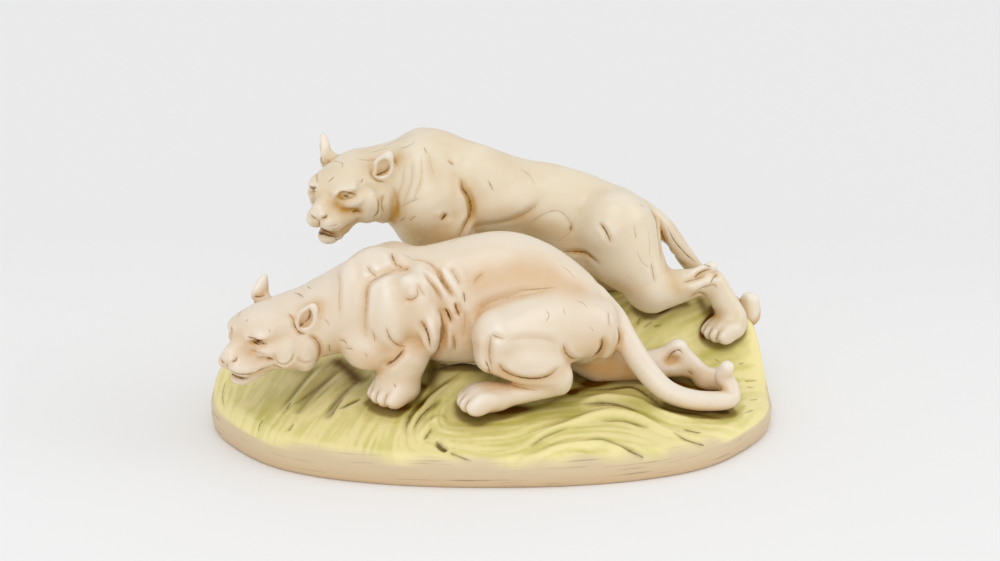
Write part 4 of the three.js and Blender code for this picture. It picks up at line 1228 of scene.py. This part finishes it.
def mound_skin(sizes, bodies, creases, stage):
    """Points and quads of the mound, closed, and the relief of its strands. The turf is the ground's height
    on the grid, the wall drops from its edge with a swelling of sin(pi drop), and the underside is flat."""
    x, y, out, shape = turf_grid(sizes)
    height = ground(sizes, x, y) - sizes.rounding / MM * np.clip((out - VERGE) / (1 - VERGE), 0, 1) ** 2
    inner = smooth((1 - out) / MODELLED)
    strand = strands(sizes, stage, x, y)
    top = np.stack([x, y, height], 1)
    rise = sizes.blade / MM * strand
    for crease in creases:
        rise -= groove(crease, *nearest(crease.path, top)[:2])
    top[:, 2] += rise * inner
    near = np.minimum(*[depth_at(body, top) for body in bodies])
    top[:, 2] += BANK * np.exp(-(np.maximum(near, 0) / BANK_WIDE) ** 2) * inner

    index = np.arange(len(x)).reshape(shape)
    ring = np.concatenate([index[:-1, 0], index[-1, :-1], index[:0:-1, -1], index[0, :0:-1]])
    drop = np.linspace(1, 0, WALL_ROWS + 1)[1:]
    edge = top[ring]
    bulge = 1 + WALL_BULGE * np.sin(np.pi * drop)
    wall = edge * np.stack([bulge, bulge, drop], 1)[:, None]
    wall[-1, :, :2] = edge[:, :2] * FOOT
    points = np.vstack([top, wall.reshape(-1, 3), [[0, 0, 0]]])
    around = len(ring)
    rings = np.vstack([ring, len(top) + np.arange(WALL_ROWS * around).reshape(WALL_ROWS, around)])
    onward = np.roll(rings, -1, 1)
    last, centre = rings[-1], len(points) - 1
    quads = np.concatenate([
        np.stack([index[:-1, :-1], index[1:, :-1], index[1:, 1:], index[:-1, 1:]], -1).reshape(-1, 4),
        np.stack([rings[:-1], rings[1:], onward[1:], onward[:-1]], -1).reshape(-1, 4),
        np.stack([last[::2], np.full(around // 2, centre), np.roll(last, -2)[::2], last[1::2]], 1)])
    return points, quads, strand


CLOSE, WIDE = 6.0, 22.0     # reach of the tight and the wide shade that the bodies cast on the turf, in mm
EDGE, BLUR = 1.012, 0.035   # way out at which the turf gives way to the rim, and over what width
FRONT_BLUR = 0.03           # how much wider that is in front
WALL_HIGH, WALL_OUT = 26, 0.045     # below this height the way out runs on down a wall, and by how much
GREEN_FROM, GREEN_RUN = 24, 16      # above this height a wall turns green, over this run
GREEN_SHIFT = 0.035         # share of the way out by which the turf is carried over it
LOW = 20                    # the stain low on the rim starts at this height


def turf_marks(sizes, depth, points, quads, outward, strand):
    """Marks for the turf's glaze. hollow is painted shadow in dark brown close to the bodies, shade is
    painted shade in olive, wide, that fades towards the back, and raised the relief. turf is 1 on the turf
    and 0 on the rim, with a rippled edge between them. low grows towards the foot of the wall, and fresh is
    the share of green, more where painted shade falls."""
    close, wide = [shade_at(depth, points, outward, reach) for reach in (CLOSE, WIDE)]
    x, y, z = points.T
    turf, wall = slice(0, len(strand)), slice(len(strand), None)
    out = way_out(sizes, x, y)
    out[wall] = 1 + WALL_OUT * (1 - smooth(z[wall] / WALL_HIGH))
    out -= GREEN_SHIFT * smooth((z - GREEN_FROM) / GREEN_RUN)
    ripple = 0.012 * np.sin(x / 17) + 0.008 * np.sin(x / 7.3 + y / 11)
    ripple[wall] *= 0.3
    blur = BLUR + FRONT_BLUR * smooth((-y - 60) / 60)
    fresh = 0.2 + 0.4 * wide - 0.15 * smooth((y - 10) / 50)     # greener in the shade, yellower up the slope
    fresh[turf] -= 0.22 * strand                                # and on the tops of the strands
    return {
        # painted shadow where the bodies come close to the turf
        "hollow": 0.7 * smooth(1.5 * close),
        "shade": 0.25 * smooth(1.2 * wide) * (1 - 0.8 * smooth((y - 10) / 40)),
        "raised": relief(points, quads, outward),
        "turf": smooth((EDGE + ripple - out) / blur),
        "low": 0.5 * smooth((LOW - z) / LOW),
        "fresh": fresh,
    }


class TIGER_OT_model_mound(bpy.types.Operator):
    """Model the grassy mound with its plain rim"""

    bl_idname = "tiger_group.model_mound"
    bl_label = "Mound"

    def execute(self, context):
        scene = context.scene
        sizes, stage = scene.tiger_mound, scene.tiger_stage
        bodies = [crouching_tiger(), stalking_tiger()]
        creases = []
        for width, deep, ink, *uv in GRASS_STROKES:
            path = ground_point(sizes, stage, course(uv, 4 * len(uv)))
            path[:, 2] = ground(sizes, path[:, 0], path[:, 1])
            creases.append(Crease(path, width, deep, ink))
        points, quads, strand = mound_skin(sizes, bodies, creases, stage)
        outward = normals(points, quads)

        def depth(p):
            """Distance to the nearer animal."""
            return np.minimum(*[depth_at(body, p) for body in bodies])

        marks = line_marks(creases, points, quads, outward)
        marks.update(turf_marks(sizes, depth, points, quads, outward, strand))
        # painted shadow where the bodies meet the turf, and a few dark bands in the grass
        marks["hollow"] += stained(GRASS_STAINS_AND_SHADOWS, points, lambda uv: ground_point(sizes, stage, uv))
        piece("grassy_mound", points, quads, marks, turf_glaze(scene.tiger_colours))
        return {"FINISHED"}


TIGHT, BROAD = 4.5, 16.0    # reach of the tight and the broad shade in an animal's hollows, in mm


def model_tiger(scene, name, forms, strokes, middle, stains, face, head_at, paws, material):
    """One tiger: creases drawn on the plain body, then its skin, then marks for stain, line, painted shade
    and a painted highlight. The body's mid-plane is at y = middle."""
    stage, sizes = scene.tiger_stage, scene.tiger_sizes
    eyes, turned = np.array(head_at[:3]), turn(*head_at[3:])
    creases = drawn(forms, stage, strokes, np.array([0, middle, 0]), turn(180, 0, 0))
    creases += drawn(forms, stage, face, eyes, turned) + laid(forms, PAW_STROKES, paws)
    full = forms + [pressed(crease) for crease in creases]
    points, quads = skin(full, eyes + turned @ np.array(FACE_CENTRE), sizes)
    outward = normals(points, quads)

    def depth(p):
        """Distance to the animal or the turf, whichever is nearer."""
        return np.minimum(depth_at(full, p), p[:, 2] - ground(scene.tiger_mound, p[:, 0], p[:, 1]))

    def on_skin(uv):
        """Where sight lines through pixels meet the plain body."""
        return cast(lambda p: depth_at(forms, p), stage, uv)

    near, wide = [shade_at(depth, points, outward, reach) for reach in (TIGHT, BROAD)]
    marks = line_marks(creases, points, quads, outward)
    # painted shade from parts of the animal and the turf close by, plus soft stains that are partly painted
    # shade
    marks["hollow"] = 0.4 * near + 0.55 * wide + stained(stains, points, on_skin)
    # painted shade on the sides and undersides, most where the skin faces down
    marks["under"] = smooth(0.75 * (1 - outward[:, 2]))
    marks["raised"] = relief(points, quads, outward)
    piece(name, points, quads, marks, material)


class TIGER_OT_model_crouching(bpy.types.Operator):
    """Model the crouching tiger"""

    bl_idname = "tiger_group.model_crouching"
    bl_label = "Crouching tiger"

    def execute(self, context):
        colours = context.scene.tiger_colours
        glaze = satin_glaze("ivory_satin_glaze", colours.ivory, colours.pale, colours.peach, colours.brown,
                            under=0.25)
        model_tiger(context.scene, "crouching_tiger", crouching_tiger(), CROUCHING_STROKES, CROUCHING_MIDDLE,
                    CROUCHING_STAINS_AND_SHADE, CROUCHING_FACE, CROUCHING_HEAD, CROUCHING_PAWS, glaze)
        return {"FINISHED"}


class TIGER_OT_model_stalking(bpy.types.Operator):
    """Model the stalking tiger"""

    bl_idname = "tiger_group.model_stalking"
    bl_label = "Stalking tiger"

    def execute(self, context):
        colours = context.scene.tiger_colours
        glaze = satin_glaze("tan_ivory_satin_glaze", colours.tan, colours.pale, colours.ochre, colours.brown,
                            under=0.1)
        model_tiger(context.scene, "stalking_tiger", stalking_tiger(), STALKING_STROKES, STALKING_MIDDLE,
                    STALKING_STAINS_AND_SHADE, STALKING_FACE, STALKING_HEAD, STALKING_PAWS, glaze)
        return {"FINISHED"}


FLOOR_HALF = 6.0    # half the side of the floor, in metres


class TIGER_OT_lay_stage(bpy.types.Operator):
    """Lay the pale floor and set the camera and the soft lights"""

    bl_idname = "tiger_group.lay_stage"
    bl_label = "Stage"

    def execute(self, context):
        scene = context.scene
        stage = scene.tiger_stage
        corners = np.array([(-1, -1), (1, -1), (1, 1), (-1, 1)]) * FLOOR_HALF
        mesh = bpy.data.meshes.new("pale_floor")
        mesh.from_pydata([(x, y, 0.0) for x, y in corners], [], [(0, 1, 2, 3)])
        mesh.materials.append(plain_floor(stage.floor, stage.backdrop))
        floor = bpy.data.objects.new("pale_floor", mesh)
        scene.collection.objects.link(floor)
        camera = bpy.data.cameras.new("camera")
        camera.lens = stage.lens
        camera.sensor_width = SENSOR
        holder = bpy.data.objects.new("camera", camera)
        holder.location = stage.place
        holder.rotation_euler = (np.pi / 2 - stage.pitch, 0, 0)
        scene.collection.objects.link(holder)
        scene.camera = holder
        lights = (("main_light", stage.sun, 38, -10), ("front_light", stage.front, 72, 0),
                  ("side_light", stage.side, 62, 88))   # name, strength, tilt and swing in degrees
        for name, strength, tilt, swing in lights:
            lamp = bpy.data.lights.new(name, "SUN")
            lamp.energy = strength
            lamp.angle = stage.sun_spread
            hanging = bpy.data.objects.new(name, lamp)
            hanging.rotation_euler = (np.radians(tilt), 0, np.radians(swing))
            scene.collection.objects.link(hanging)
        world = bpy.data.worlds.new("even_light")
        world.use_nodes = True
        world.node_tree.nodes["Background"].inputs["Color"].default_value = (1, 1, 1, 1)
        world.node_tree.nodes["Background"].inputs["Strength"].default_value = stage.sky
        scene.world = world
        scene.view_settings.view_transform = "Standard"
        return {"FINISHED"}


class TIGER_PT_panel(bpy.types.Panel):
    """Sizes, colours and the steps that model the group"""

    bl_label = "Tiger group"
    bl_idname = "TIGER_PT_panel"
    bl_space_type = "VIEW_3D"
    bl_region_type = "UI"
    bl_category = "Tiger group"

    def draw(self, context):
        scene = context.scene
        for label, owner in (("Mound", scene.tiger_mound), ("Tigers", scene.tiger_sizes),
                             ("Colours", scene.tiger_colours), ("Stage", scene.tiger_stage)):
            box = self.layout.box()
            box.label(text=label)
            for key in owner.__annotations__:
                box.prop(owner, key)
        for operator in OPERATORS:
            self.layout.operator(operator.bl_idname)


OPERATORS = (TIGER_OT_lay_stage, TIGER_OT_model_mound, TIGER_OT_model_crouching, TIGER_OT_model_stalking)
GROUPS = {"tiger_mound": MoundSizes, "tiger_sizes": TigerSizes, "tiger_colours": GlazeColours,
          "tiger_stage": StageSettings}


def register():
    for entry in (*GROUPS.values(), *OPERATORS, TIGER_PT_panel):
        bpy.utils.register_class(entry)
    for name, group in GROUPS.items():
        setattr(bpy.types.Scene, name, bpy.props.PointerProperty(type=group))


def unregister():
    for name in GROUPS:
        delattr(bpy.types.Scene, name)
    for entry in (TIGER_PT_panel, *reversed(OPERATORS), *reversed(GROUPS.values())):
        bpy.utils.unregister_class(entry)


def main():
    register()
    bpy.ops.tiger_group.lay_stage()
    bpy.ops.tiger_group.model_mound()
    bpy.ops.tiger_group.model_crouching()
    bpy.ops.tiger_group.model_stalking()


if __name__ == "__main__":
    main()
